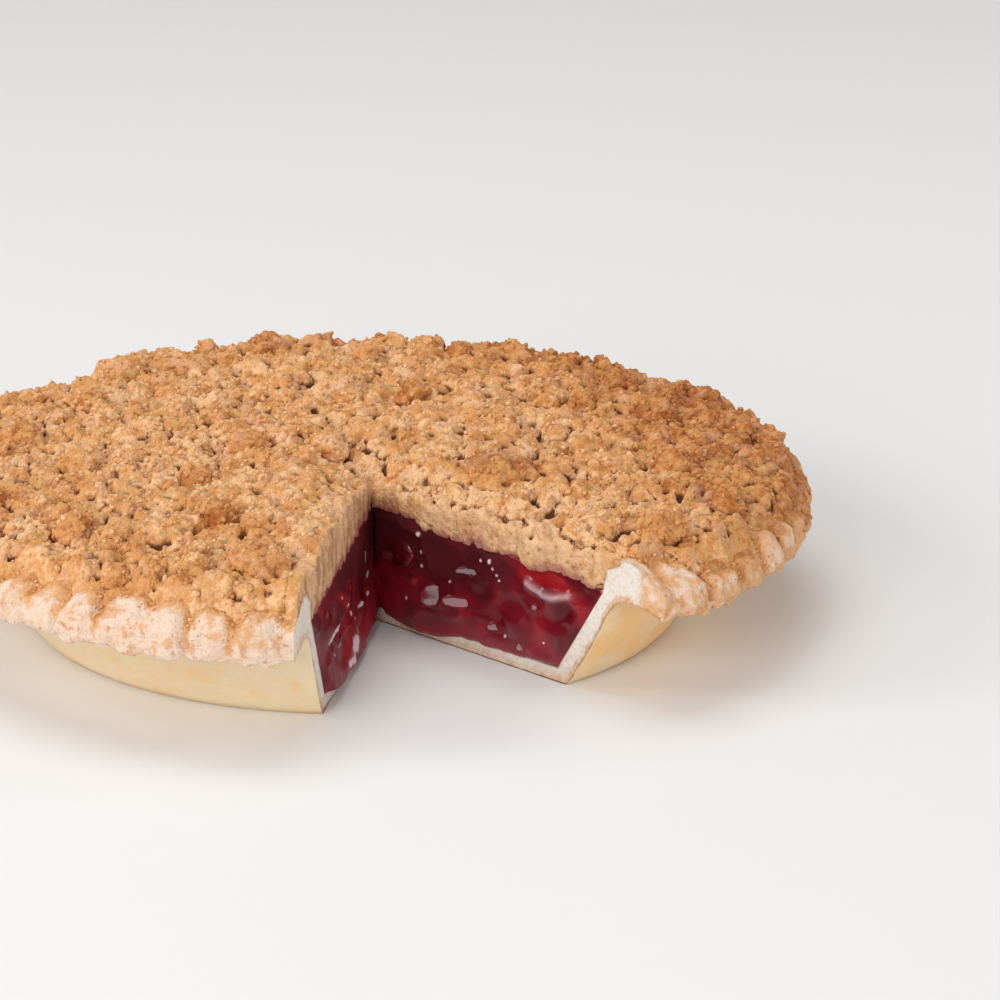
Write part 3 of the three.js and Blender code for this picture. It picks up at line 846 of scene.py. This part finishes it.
def crumb_grain_piece(carriers, rim_points, rim_normals):
    """Fine grains of crumb, stuck on the bed and the clumps and fallen on the rim."""
    rng = np.random.default_rng(SEED + 5)
    points, normals, hollow = (np.concatenate(parts) for parts in zip(*carriers))
    x, y, z = split(points)
    radius, angle = polar(x, y)
    fit = (normals[:, 2] > 0.0) & (z > filling_top(x, y) + 4) & (z < GRAIN_TOP) & (behind_cut(x, y) > 1.2)
    fit |= (radius > CRUMB_ON_RIM) & (z > rim_height(radius, angle) + 0.4)
    chosen = rng.choice(np.flatnonzero(fit), GRAIN_COUNT, replace=False)
    x, y, _ = split(rim_points)
    radius, angle = polar(x, y)
    beyond = radius - crumb_edge(angle)
    likely = np.exp(-np.maximum(beyond, 0) / 1.3) * (0.25 + groove_at(angle, 0.22))
    likely = likely * (beyond > -1) * (rim_normals[:, 2] > 0.1) * (behind_cut(x, y) > 1.0)
    fallen = rng.choice(len(rim_points), RIM_GRAINS, replace=False, p=likely / likely.sum())
    count = GRAIN_COUNT + RIM_GRAINS
    size = 0.4 + 0.55 * rng.random(count) ** 2
    size[GRAIN_COUNT:] *= 0.75
    corners, faces = icosahedron()
    shape = corners[None] * rng.uniform(0.72, 1.25, (count, 12, 1)) * rng.uniform(0.75, 1.25, (count, 1, 3))
    shape = turned_by(shape * size[:, None, None], rng.normal(size=(count, 4)))
    normal = np.concatenate([normals[chosen], rim_normals[fallen]])
    centre = np.concatenate([points[chosen], rim_points[fallen]]) + normal * (0.1 * size[:, None])
    # the painted crevice shade of the grains, a little less than where they sit
    hollow = np.concatenate([hollow[chosen], np.zeros(RIM_GRAINS)]) - 0.1
    brown = np.clip(brownness(centre) + rng.uniform(-0.25, 0.1, count), 0, 1)
    made = Builder(CRUMB_MARKS)
    numbers = made.add(centre[:, None] + shape, hollow=hollow[:, None], brown=brown[:, None])
    made.faces.append(numbers[:, faces].reshape(-1, 3))
    return made.mesh("crumb_grains")


# ---- The pastry case ----

AROUND = 860  # steps from one cut face round to the other
FLOOR_STEPS = 5
LOWER_WALL = (2, 6, 5)  # steps between the stations of the wall's outer side
LOWER_HEAD = (3, 8, 5, 4, 4, 4)  # between those under the rim
UPPER_HEAD = (4, 5, 6, 5, 4, 4)  # and between those over it
WALL_STEPS = sum(LOWER_WALL)
HEAD_LEVEL = FLOOR_STEPS + WALL_STEPS  # the first ring of the rim
CAP_STEPS = 12  # across the thickness, on a cut face


def smooth_path(stations, counts):
    """A Catmull-Rom curve through stations of radius and height, with a number of steps for each span."""
    stations = np.stack(np.broadcast_arrays(*(stacked(*station) for station in stations)))
    stations = np.concatenate([stations[:1], stations, stations[-1:]])
    path = []
    for i, count in enumerate(counts):
        p0, p1, p2, p3 = stations[i : i + 4]
        for step in range(count):
            t = step / count
            curve = 2 * p1 + (p2 - p0) * t + (2 * p0 - 5 * p1 + 4 * p2 - p3) * t**2
            path.append(0.5 * (curve + (3 * p1 - p0 - 3 * p2 + p3) * t**3))
    return np.array(path + [stations[-1]])


def pastry_rings():
    """The lower and the upper surface of the pastry, as rings of points from one cut face to the other."""
    way = ring_ways(AROUND)
    x, y = split(on_circle(RIM_MIDDLE, way))
    angle = np.arctan2(y, x)
    ring = stacked(x, y, 0)
    slit = groove_at(angle, 0.13)
    edge = rim_edge(angle)
    full = edge + 0.4 * GROOVE_IN * slit
    ragged = 0.45 * noise(ring, 7, 20) + 0.45 * noise(ring, 2.6, 21)
    ragged = ragged + 0.5 * np.round(1.6 * noise(ring, 1.5, 22)) / 1.6
    hang = RIM_HANG + 1.0 * slit + ragged
    top = rim_top(angle)
    below = (
        (BASE_RADIUS, 0.0),
        (BASE_RADIUS + 2.2, 1.6),
        (0.5 * (BASE_RADIUS + WALL_TOP[0]) + 0.8, 0.5 * WALL_TOP[1]),
        (WALL_TOP[0] - 0.4, WALL_TOP[1] - 1.2),
        (towards(edge, 0.35), WALL_TOP[1] + 0.6 + 0.3 * ragged),
        (towards(full, 0.86), hang + 0.3),
        (towards(full, 0.955), hang),
        (towards(full, 0.99), hang + 1.0),
        (towards(full, 1.0), RIM_HANG + 2.2 + 0.4 * ragged),
        top[-1],
    )
    lower = smooth_path(below, LOWER_WALL + LOWER_HEAD)
    head = smooth_path((WALL_INSIDE, *top), UPPER_HEAD)
    foot = np.array([FLOOR_RADIUS, PASTRY])
    wall = foot + (np.array(WALL_INSIDE) - foot) * (np.arange(WALL_STEPS) / WALL_STEPS)[:, None, None]
    upper = np.concatenate([np.broadcast_to(wall, (WALL_STEPS,) + head.shape[1:]), head])
    for path, radius, height in ((lower, BASE_RADIUS, 0.0), (upper, FLOOR_RADIUS, PASTRY)):
        floor = lifted(fan(radius, way, np.arange(FLOOR_STEPS) / FLOOR_STEPS), height)
        yield np.concatenate([floor, lifted(on_circle(path[..., 0], way), path[..., 1])])


def ring_normals(points, flip):
    """The normals of a surface given as rings of points."""
    normal = np.cross(np.gradient(points, axis=1), np.gradient(points, axis=0)) * (-1 if flip else 1)
    return normal / np.maximum(np.linalg.norm(normal, axis=-1, keepdims=True), 1e-9)


def roughened(points, mask, flip):
    """Rings of points, pushed outwards by the pastry's blisters, ridges and flakes as far as mask says."""
    push = 0.5 * noise(points, 7.5, 30) + 0.46 * noise(points, 3.1, 31)
    push += 0.38 * noise(points, 1.5, 32)
    push += 0.3 * noise(points * np.array([1, 1, 0.12]), 3.4, 34)
    flakes = noise(points * np.array([0.25, 0.25, 1.0]), 1.25, 33)
    push += 0.34 * np.round(1.5 * flakes) / 1.5
    return points + ring_normals(points, flip) * (push * mask)[..., None]


def pastry_piece():
    """The pastry case, and the points and the normals of its rim's upper side."""
    below, above = pastry_rings()
    levels = np.arange(len(below))[:, None]
    wall_mask = ease(levels, FLOOR_STEPS, FLOOR_STEPS + 3) * 0.32
    head_mask = ease(levels, HEAD_LEVEL + 1, HEAD_LEVEL + 6)
    below = roughened(below, np.maximum(wall_mask, head_mask), False)
    above = roughened(above, ease(levels, HEAD_LEVEL + 4, HEAD_LEVEL + 9), True)
    above[-1] = below[-1]
    made = Builder(("cut", "toast", "wall"))
    low = made.add(below, toast=toasted(below), wall=ease(levels, HEAD_LEVEL + 2, HEAD_LEVEL - 1))
    high = np.concatenate([made.add(above[:-1], toast=toasted(above[:-1])), low[-1:]])
    made.net(low, flip=True)
    made.net(high)
    for end, face, flip in RING_ENDS:
        cap_between(made, below[:, end], above[:, end], low[:, end], high[:, end], face, flip)
    rim = slice(HEAD_LEVEL + 2, None)
    return made.mesh("pastry_case"), above[rim], ring_normals(above, True)[rim]


def cap_between(made, lower, upper, lower_numbers, upper_numbers, face, flip):
    """The cut face of the pastry between its lower and its upper outline, with pores. The right-hand one is
    broken and browned at the rim."""
    right = face.name == "right"
    share = np.linspace(0, 1, CAP_STEPS + 1)[1:-1]
    points = lower[:, None] + (upper - lower)[:, None] * share[:, None]
    radius = np.hypot(points[..., 0], points[..., 1])
    pores = np.minimum(0, noise(points, 1.8, 40) + noise(points, 0.9, 71) / 2 - 0.1)
    baked = right * ease(radius + 1.5 * noise(points, 3, 42), 106, 109)
    bulge = (not right) * 1.4 * ease(radius, 76, 64)
    depth = 0.8 * pores - 1.1 * baked * ease(noise(points, 2.2, 43), -0.4, 0.5) + bulge
    points[..., :2] += face.out * (depth * np.sin(math.pi * share))[..., None]
    golden = right * ease(radius + 6 * noise(points, 6, 44), 66, 52)
    corner = 0.8 * ease(radius, 60, 74) * ease(points[..., 2], 6, 3)
    pale_from = 0.3 + 0.55 * np.maximum(golden, corner)
    white = ease(share + 0.2 * noise(points, 1.6, 45), 0.0, pale_from) * (1 - 0.85 * baked)
    inner = made.add(points[:-1], cut=white[:-1], toast=toasted(points[:-1]))
    inner = np.concatenate([inner, np.repeat(lower_numbers[-1:, None], CAP_STEPS - 1, axis=1)])
    made.net(np.concatenate([lower_numbers[:, None], inner, upper_numbers[:, None]], axis=1), flip)


def toasted(points):
    """How much the pastry is browned at each point: in patches, in the grooves and where the crumb ends. Its
    wall is golden towards +X."""
    x, y, height = split(points)
    radius, angle = polar(x, y)
    over = ease(height, 26, 30)
    patches = noise(points, 13, 50) + 0.7 * noise(points, 5, 51) + 0.7 * noise(points, 2, 52)
    near = 0.7 * ease(radius - crumb_edge(angle) + 1.6 * noise(points, 3, 53), 5.0, -0.5)
    near = near + 0.5 * groove_at(angle, 0.16) * ease(noise(points, 4, 54), -0.5, 0.3)
    side = ease(x, 10, 85) * (0.42 - 0.14 * over)
    return np.clip(0.14 + 0.2 * patches * (0.4 + 0.6 * over) + over * near + side, 0, 1)


# ---- The filling ----

FACE_STEPS = 350  # along a cut face
UP_STEPS = 98  # and up it
ROUND_STEPS = 16
CHERRY_RINGS = 26
CHERRY_SIDES = 40
GEL_MARKS = ("haze", "dark", "fruit", "pale", "calm", "red")


def cherries_of(face):
    """The cherries at a cut face: their places along it, their heights and their radii."""
    first, count = CHERRIES[face.name]
    for i in range(count):
        row = CHERRY_ROWS[(i + FACES.index(face) + 1) % 2]
        yield first + i * CHERRY_PITCH, row, CHERRY_RADIUS - 0.4 * (i * 7 % 3)


def distance_to(line, s, z):
    """How far places on a cut face lie from a line on it, which is given by its places and heights."""
    nearest = np.full(np.shape(s), 99.0)
    for (s0, z0), (s1, z1) in zip(line, line[1:]):
        length = math.hypot(s1 - s0, z1 - z0)
        part = np.clip(((s - s0) * (s1 - s0) + (z - z0) * (z1 - z0)) / length**2, 0, 1)
        nearest = np.minimum(nearest, np.hypot(s - s0 - part * (s1 - s0), z - z0 - part * (z1 - z0)))
    return nearest


def bubble_and_highlight_share(face, s, z):
    """1 in the middle of a bubble and 0 between them. There the filling is raised a little and painted pale
    as a highlight.
    """
    uneven = 0.45 * noise(face.at(s, z, 0), 0.9, 67)
    shares = [ease(np.hypot(s - place, z - height) / radius + uneven, 1.15, 0.5)
              for place, height, radius in BUBBLES[face.name]]
    return np.maximum.reduce(shares)


def painted_shine_share(s, z):
    """1 in the painted highlights of the left-hand face and 0 between them."""
    uneven = 0.5 * noise(FACES[0].at(s, z, 0) * np.array([1, 0.4, 1]), 1.0, 68)
    shares = [ease(np.hypot((s - place) / half, (z - height) / tall) + uneven, 1.1, 0.7)
              for place, height, half, tall in PAINTED_SHINES]
    return np.maximum.reduce(shares)


def gel_swells(face, s, z):
    """How far the filling stands out of a cut face: slow swells, folds, and its rise round each cherry."""
    points = face.at(s, z, 0)
    swell = 0.8 * noise(points, 12, 60) + 0.5 * noise(points, 6, 61)
    fold = 1 - np.abs(noise(points * np.array([1, 1, 1.6]), 8, 62))
    relief = 0.3 + UNEVEN[face.name] * (swell + 0.8 * fold**3) + 0.1 * noise(points, 2.6, 63)
    if face.name == "left":
        relief = relief + 1.6 * ease(z, 19, 3)
    for place, row, radius in cherries_of(face):
        away = np.hypot(s - place, (z - row) / 0.95)
        ball = np.sqrt(np.maximum(0, radius**2 - away**2)) - CHERRY_SINK
        rise = np.where(away < radius, ball - 0.5, -9)
        relief = relief * (1 - 0.6 * ease(away, radius + 2.5, radius - 2.5))
        relief = 0.5 * (relief + rise + np.sqrt((relief - rise) ** 2 + 0.7))
    return relief


def gel_relief(face, s, z):
    """The swells with the flat spots, the fold and the bubbles on them."""
    relief = gel_swells(face, s, z)
    uneven = 0.12 * noise(face.at(s, z, 0), 1.3, 64)
    for place, height, half, tall in GLINTS[face.name]:
        level = max(float(gel_swells(face, np.array(place), np.array(height))), 0.5)
        spot = level + GLINT_SLOPES[0] * (s - place) + GLINT_SLOPES[1] * (z - height)
        u, v = (s - place) / half, (z - height) / tall
        away = np.hypot(u, v) * 0.5 + np.maximum(np.abs(u), np.abs(v)) * 0.5 + uneven
        relief = relief + (spot - relief) * ease(away, 1.35, 1.0)
    if face.name == "right":
        relief = relief + 1.0 * near_zero(distance_to(FOLD, s, z), 1.2)
    return relief + 0.25 * bubble_and_highlight_share(face, s, z)


def gel_marks(face, s, z):
    """The marks of the filling at places on a cut face."""
    fruit = [ease(np.hypot(s - place, z - row), radius + 1.0, radius - 2.0)
             for place, row, radius in cherries_of(face)]
    blotch = 3.5 * noise(face.at(s, z, 0), 7, 66)
    # painted glow: red where light would come through the clear juice
    streak, wide = RED_STREAK[face.name]
    red = near_zero(distance_to(streak, s, z) + 0.3 * blotch, wide)
    left = face.name == "left"
    # painted highlights: pale spots on the left-hand face, a pale line along the fold on the right-hand face
    painted_highlights = painted_shine_share(s, z) if left else 0.45 * near_zero(distance_to(FOLD, s, z), 0.85)
    return {
        # painted reflection of the pale floor, at the foot of each face
        "haze": ease(z + blotch, 13, 5) * ease(s, 4, 22) * PAINTED_FLOOR_REFLECTION[face.name],
        "dark": ease(z + blotch, 13, 21) * (1 - 0.8 * ease(s + blotch, 47, 58)) * (1 - red),
        "fruit": np.maximum.reduce(fruit),
        "pale": np.maximum(bubble_and_highlight_share(face, s, z), painted_highlights),
        "calm": float(left),
        "red": red,
    }


def filling_piece():
    """The filling: its underside, wall and top in one net, and its two cut faces."""
    bottom = PASTRY + 0.2
    way = ring_ways(ROUND_STEPS)
    share = np.linspace(0, 1, FACE_STEPS + 1)
    up = np.linspace(0, 1, UP_STEPS + 1)[1:-1, None]
    floor = lifted(fan(FLOOR_RADIUS, way, share), bottom)
    wall_radius = FLOOR_RADIUS + (WALL_INSIDE[0] - FLOOR_RADIUS) * up
    side_top = filling_top(*split(on_circle(WALL_INSIDE[0], way)))
    wall = lifted(on_circle(wall_radius + 0.15, way), bottom + (side_top - bottom) * up)
    ceiling = fan(WALL_INSIDE[0], way, share[::-1])
    shell = np.concatenate([floor, wall, lifted(ceiling, filling_top(*split(ceiling)))])
    made = Builder(GEL_MARKS)
    numbers = made.add(shell)
    made.net(numbers, flip=True)
    tip_low, tip_top = shell[0, 0], shell[-1, 0]
    tip = made.add(tip_low + (tip_top - tip_low) * up, dark=0.5)
    for end, face, flip in RING_ENDS:
        gel_face(made, face, numbers[:, end], tip, bottom, flip)
    return made.mesh("cherry_filling")


def gel_face(made, face, loop, tip, bottom, flip):
    """A cut face of the filling: a net between the loop of vertices round it and those up the tip."""
    corner = FACE_STEPS + UP_STEPS
    low, side, top = loop[: FACE_STEPS + 1], loop[FACE_STEPS : corner + 1], loop[corner:][::-1]
    known = np.concatenate(made.points)
    s_low, s_top = (face.place(*known[row[1:-1], :2].T)[:, None] for row in (low, top))
    z_top = known[top[1:-1], 2][:, None]
    u = np.linspace(0, 1, FACE_STEPS + 1)[1:-1, None]
    v = np.linspace(0, 1, UP_STEPS + 1)[1:-1]
    s = s_low + (s_top - s_low) * v
    z = bottom + (z_top - bottom) * v
    places, heights = zip(*FOOT[face.name])
    ends = np.interp(s, places, heights) + 0.3 * noise(face.at(s, 0, 0), 3, 65)
    run_down = np.maximum(bottom - ends, 0) * ease(s, 80, 66)
    drop = ease(v, 0.30, 0.03)
    z = z - run_down * drop
    foot = ease(v, 0.0, 0.05)
    border = ease(v, 1.0, 0.84) * ease(u, 0.0, 0.03) * ease(u, 1.0, 0.96)
    out = np.maximum(gel_relief(face, s, z), -DEEPEST) * border * (0.15 + 0.85 * foot)
    out = out + 0.7 * drop * np.minimum(1, run_down / 1.5) * foot
    out = np.maximum(out, np.where(run_down * drop > 0.05, 0.5, -9) * foot)
    inner = made.add(face.at(s, z, out), **gel_marks(face, s, z))
    rows = np.concatenate([tip.reshape(1, -1), inner, side[None, 1:-1]])
    made.net(np.concatenate([low[:, None], rows, top[:, None]], axis=1), flip)


def cherry_piece():
    """The cherries that show at the cut, slightly shrunken and wrinkled."""
    made = Builder()
    lat = np.linspace(0, math.pi, CHERRY_RINGS + 1)[:, None]
    lon = np.linspace(0, 2 * math.pi, CHERRY_SIDES + 1)[:-1]
    ball = stacked(np.sin(lat) * np.cos(lon), np.sin(lat) * np.sin(lon), np.cos(lat))
    cherries = [(face, *cherry) for face in FACES for cherry in cherries_of(face)]
    for number, (face, place, row, radius) in enumerate(cherries):
        skin_points = ball * radius + 40 * number
        wrinkle = 0.55 * noise(skin_points, 5, 70) + 0.2 * noise(skin_points, 2.2, 71)
        centre = face.at(place, row, -CHERRY_SINK)
        points = centre + ball * np.array([1, 1, 0.93]) * (radius - 0.3 + wrinkle)[..., None]
        x, y, z = split(points)
        s = face.place(x, y)
        proud = -face.behind(x, y) - gel_relief(face, s, z) + 0.25
        covered = np.any([np.hypot((s - at) / half, (z - height) / tall) < 1.6
                          for at, height, half, tall in GLINTS[face.name]], axis=0)
        points[..., :2] -= face.out * np.where(covered, np.maximum(proud, 0), 0)[..., None]
        made.net(made.add(points), closed=True)
    return made.mesh("cherries")


# ---- Materials ----

class Shader:
    """A material made from nodes, with short names for those that are used here."""

    def __init__(self, name, **constants):
        self.material = bpy.data.materials.new(name)
        self.material.use_nodes = True
        self.tree = self.material.node_tree
        self.surface = self.tree.nodes["Principled BSDF"]
        for socket, value in constants.items():
            self.surface.inputs[socket.replace("_", " ")].default_value = value

    def join(self, source, target):
        """Links an output to a socket, or gives the socket a number, a vector or a colour."""
        if isinstance(source, bpy.types.NodeSocket):
            self.tree.links.new(source, target)
        else:
            target.default_value = rgb(source) if isinstance(source, str) else source

    def set(self, socket, value):
        self.join(value, self.surface.inputs[socket])

    def node(self, kind, inputs, **settings):
        made = self.tree.nodes.new("ShaderNode" + kind)
        for setting, value in settings.items():
            setattr(made, setting, value)
        for socket, value in inputs.items():
            self.join(value, made.inputs[socket])
        return made

    def mark(self, name, times=1.0):
        fac = self.node("Attribute", {}, attribute_name=name).outputs["Fac"]
        return fac if times == 1.0 else self.math("MULTIPLY", fac, times)

    def place(self):
        return self.node("NewGeometry", {}).outputs["Position"]

    def noise(self, size, detail=2.0, roughness=0.5, stretch=None):
        """Noise from 0 to 1 with bumps about size millimetres across."""
        place = self.place()
        if stretch:
            place = self.node("Mapping", {"Vector": place, "Scale": stretch}).outputs["Vector"]
        inputs = {"Vector": place, "Scale": 1 / (2 * size * MM), "Detail": detail, "Roughness": roughness}
        return self.node("TexNoise", inputs).outputs["Fac"]

    def cells(self, size):
        """Rounded cells about size millimetres across: their height, and a random number for each."""
        made = self.node("TexVoronoi", {"Vector": self.place(), "Scale": 1 / (size * MM)})
        return self.math("SUBTRACT", 1.0, made.outputs["Distance"]), made.outputs["Color"]

    def span(self, value, low, high, out_low=0.0, out_high=1.0):
        """A value spread smoothly so that low becomes out_low and high becomes out_high."""
        inputs = {"Value": value, "From Min": low, "From Max": high, "To Min": out_low, "To Max": out_high}
        return self.node("MapRange", inputs, interpolation_type="SMOOTHSTEP").outputs["Result"]

    def math(self, operation, first, second):
        return self.node("Math", {0: first, 1: second}, operation=operation).outputs[0]

    def sum(self, *values):
        """The values added up, the first two first."""
        total = values[0]
        for value in values[1:]:
            total = self.math("ADD", total, value)
        return total

    def mix(self, colour, *layers):
        """A colour with other colours over it, each given as its share and itself."""
        for share, other in layers:
            inputs = {"Factor": share, 6: colour, 7: other}
            colour = self.node("Mix", inputs, data_type="RGBA").outputs[2]
        return colour

    def bump(self, height, distance, strength):
        inputs = {"Distance": distance * MM, "Strength": strength, "Height": height}
        self.set("Normal", self.node("Bump", inputs).outputs["Normal"])


def rgb(text):
    """A colour such as "d7a56e" as linear numbers with alpha."""
    values = [int(text[i : i + 2], 16) / 255 for i in (0, 2, 4)]
    return tuple(v / 12.92 if v <= 0.04045 else ((v + 0.055) / 1.055) ** 2.4 for v in values) + (1.0,)


def crumb_finish():
    """Golden to brown crumb with pink and olive patches, and painted shade that darkens its crevices. Its
    cut faces are streaked, and stained by the juice at their foot."""
    shader = Shader("baked_crumb", Roughness=0.75, Specular_IOR_Level=0.3)
    fine = shader.noise(0.5, 3.0, 0.6)
    middle = shader.noise(2.2, 3.0, 0.6)
    grains, grain_tone = shader.cells(1.3)
    small, _ = shader.cells(0.65)
    _, lump_tone = shader.cells(3.6)
    tone = shader.sum(
        shader.mark("brown"),
        shader.span(middle, 0.3, 0.7, -0.16, 0.1),
        shader.span(fine, 0.3, 0.7, -0.1, 0.1),
        shader.span(grain_tone, 0.2, 0.8, -0.14, 0.14),
        shader.span(lump_tone, 0.2, 0.8, -0.12, 0.08),
    )
    pink = shader.span(shader.noise(3.0), 0.5, 0.72, 0.0, 0.45)
    olive = shader.span(shader.noise(2.4, stretch=(1.1, 0.9, 1.2)), 0.5, 0.7, 0.0, 0.4)
    streaks = shader.noise(1.4, 3.0, 0.6, (1, 1, 0.25))
    colour = shader.mix(
        "ecbd8e",
        (shader.span(tone, 0.0, 0.5), "d6975a"),
        (shader.span(tone, 0.5, 1.1), "a8602a"),
        (pink, "dcab8d"),
        (olive, "cc9c54"),
        # painted shade: the crevices are darkened in colour
        (shader.span(shader.mark("hollow"), 0.0, 0.55), "683714"),
        (shader.mark("cut", 0.7), shader.mix("d8b08a", (shader.span(streaks, 0.4, 0.6), "9a6e4a"))),
        (shader.mark("stain", 0.7), "93484c"),
    )
    shader.set("Base Color", colour)
    rounded = shader.sum(grains, shader.math("MULTIPLY", small, 0.6))
    shader.bump(shader.sum(rounded, shader.math("MULTIPLY", fine, 0.8)), 0.5, 0.85)
    return shader.material


def pastry_finish():
    """Pale floury pastry, toasted in patches and specks, with a smoother golden wall and a white cut."""
    shader = Shader("baked_pastry", Roughness=0.62, Specular_IOR_Level=0.35)
    toast = shader.mark("toast")
    tone = shader.sum(toast, shader.span(shader.noise(1.3, 3.0, 0.6), 0.3, 0.7, -0.2, 0.2))
    golden = shader.sum(
        shader.span(shader.noise(7, 3.0, 0.6), 0.3, 0.7, -0.3, 0.3),
        toast,
        shader.span(shader.noise(1.6, 3.0, 0.6), 0.3, 0.7, -0.1, 0.1),
    )
    crumb = shader.span(shader.noise(0.5, 3.0, 0.6), 0.45, 0.7)
    colour = shader.mix(
        "eccfb8",
        (shader.span(tone, 0.15, 0.6), "e0a974"),
        (shader.span(tone, 0.6, 1.1), "b87438"),
        (shader.span(shader.noise(2.0, 4.0, 0.65), 0.53, 0.62, 0.0, 0.65), "dc9c68"),
        (shader.span(shader.noise(0.9), 0.62, 0.7, 0.0, 0.6), "c98448"),
        (shader.mark("wall"), shader.mix("f0dbb7", (shader.span(golden, 0.1, 0.75), "f6ca8c"))),
        (shader.mark("cut"), shader.mix("e2d9cf", (crumb, "d6c6b2"))),
    )
    shader.set("Base Color", colour)
    rugged = shader.math("SUBTRACT", 1.3, shader.mark("wall"))
    rugged = shader.math("SUBTRACT", rugged, shader.mark("cut"))
    height = shader.sum(shader.noise(0.5, 3.0, 0.65), shader.noise(1.5, 3.0, 0.6))
    shader.bump(shader.math("MULTIPLY", height, rugged), 0.8, 0.9)
    return shader.material


def gel_finish():
    """Dark red glossy gel, with a painted red glow where it is clear, a painted reflection of the floor at
    its foot and painted highlights where it shines.
    """
    shader = Shader("cherry_gel", Specular_IOR_Level=0.35, Coat_Weight=0.2, Coat_Roughness=0.03,
                    Subsurface_Weight=0.25, Subsurface_Scale=0.004, Subsurface_Radius=(1.0, 0.15, 0.12),
                    IOR=1.33)
    colour = shader.mix(
        "55101a",
        (shader.span(shader.noise(9, 3.0, 0.55), 0.38, 0.66), "901a28"),
        (shader.span(shader.noise(6), 0.56, 0.74), "b02230"),
        (shader.mark("dark", 0.82), "4a1c20"),
        # painted reflection of the pale floor at the foot of the faces
        (shader.mark("haze", 0.4), "984a50"),
        (shader.mark("fruit", 0.35), "4a0710"),
        # painted glow of light through the clear juice
        (shader.mark("red", 0.65), "9e1a1e"),
        # painted highlights: bubbles, the fold, and spots on the left-hand face
        (shader.mark("pale", 0.88), "ecd4d8"),
    )
    shader.set("Base Color", colour)
    shader.set("Roughness", shader.span(shader.mark("calm"), 0.0, 1.0, 0.1, 0.5))
    uneven = shader.span(shader.mark("calm"), 0.0, 1.0, 1.0, 0.2)
    shader.bump(shader.math("MULTIPLY", shader.noise(2.4), uneven), 0.25, 0.2)
    return shader.material


def cherry_finish():
    shader = Shader("cherry_skin", Roughness=0.15, Coat_Weight=0.2, Coat_Roughness=0.05)
    tone = shader.span(shader.noise(3.5, 3.0, 0.6), 0.35, 0.7)
    shader.set("Base Color", shader.mix("45060e", (tone, "7d0e1c")))
    shader.bump(shader.noise(1.5), 0.3, 0.3)
    return shader.material


def floor_finish():
    shader = Shader("pale_floor", Roughness=0.5, Specular_IOR_Level=0.2)
    shader.set("Base Color", shader.mix("e6e5e4", (shader.noise(300, 1.0), "eae9e8")))
    return shader.material


# ---- The studio ----

def studio_floor():
    """A pale floor that sweeps up into a wall far behind."""
    made = Builder()
    turn = np.linspace(0.1, math.pi / 2, 14)
    y = np.concatenate([[-3000, 1500], 1500 + 900 * np.sin(turn), [2400]])
    z = np.concatenate([[0, 0], 900 - 900 * np.cos(turn), [3500]])
    made.net(made.add(stacked(np.array([[-3500.0], [3500.0]]), y, z)))
    floor = made.mesh("studio_floor")
    floor.data.materials.append(floor_finish())


# The lights: place, the place they aim at, width, height and power
LIGHTS = {
    "top_light": ((-200, 300, 1500), (0, 0, 0), 1200, 1200, 9.5),
    "front_light": ((-650, -1500, 700), (0, 0, 10), 1000, 700, 14.5),
    "left_window": ((-1100, -150, 620), (0, 0, 30), 420, 600, 5),
    "right_window": ((1100, 300, 500), (0, 0, 30), 300, 500, 2),
    "right_front": ((1300, -900, 300), (0, 0, 20), 300, 300, 3.6),
}


def studio_lights():
    for name, (place, aim, width, height, power) in LIGHTS.items():
        light = bpy.data.lights.new(name, "AREA")
        light.shape = "RECTANGLE"
        light.size = width * MM
        light.size_y = height * MM
        light.energy = power
        made = bpy.data.objects.new(name, light)
        made.location = Vector(place) * MM
        way = Vector(aim) * MM - made.location
        made.rotation_euler = way.to_track_quat("-Z", "Y").to_euler()
        bpy.context.scene.collection.objects.link(made)
    world = bpy.data.worlds.new("studio")
    bpy.context.scene.world = world
    world.use_nodes = True
    background = world.node_tree.nodes["Background"].inputs
    background["Color"].default_value = (1, 1, 1, 1)
    background["Strength"].default_value = 0.4
    bpy.context.scene.view_settings.view_transform = "Standard"


def camera():
    lens = bpy.data.cameras.new("camera")
    lens.lens = LENS
    lens.sensor_width = SENSOR
    lens.clip_start = 0.05
    lens.clip_end = 50
    made = bpy.data.objects.new("camera", lens)
    made.location = Vector(EYE) * MM
    made.rotation_euler = (math.pi / 2 - PITCH, 0, -YAW)
    bpy.context.scene.collection.objects.link(made)
    bpy.context.scene.camera = made


def dress(piece, slot, finish, *nodes):
    """Gives a piece its material and puts it in place of its nodes."""
    piece.data.materials.append(finish)
    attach(piece, "root")
    if nodes:
        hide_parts(*nodes)


def build():
    camera()
    studio_floor()
    studio_lights()
    crumb = crumb_finish()
    bed = CrumbBed()
    bed_piece = crumb_bed_piece(bed)
    clumps = crumb_clump_piece(bed)
    case, rim, rim_normals = pastry_piece()
    carriers = [surface_of(bed_piece), surface_of(clumps)]
    grains = crumb_grain_piece(carriers, rim.reshape(-1, 3), rim_normals.reshape(-1, 3))
    dress(bed_piece, "crumb", crumb, "crumb_topping")
    dress(crumb_cut_piece(bed), "crumb", crumb)
    dress(clumps, "crumb", crumb)
    dress(grains, "crumb", crumb)
    dress(case, "pastry", pastry_finish(), "crust")
    dress(filling_piece(), "filling", gel_finish(), "filling")
    names = [f"cherry_{side}_{i + 1}" for side, (_, count) in CHERRIES.items() for i in range(count)]
    dress(cherry_piece(), "cherry", cherry_finish(), *names)


build()
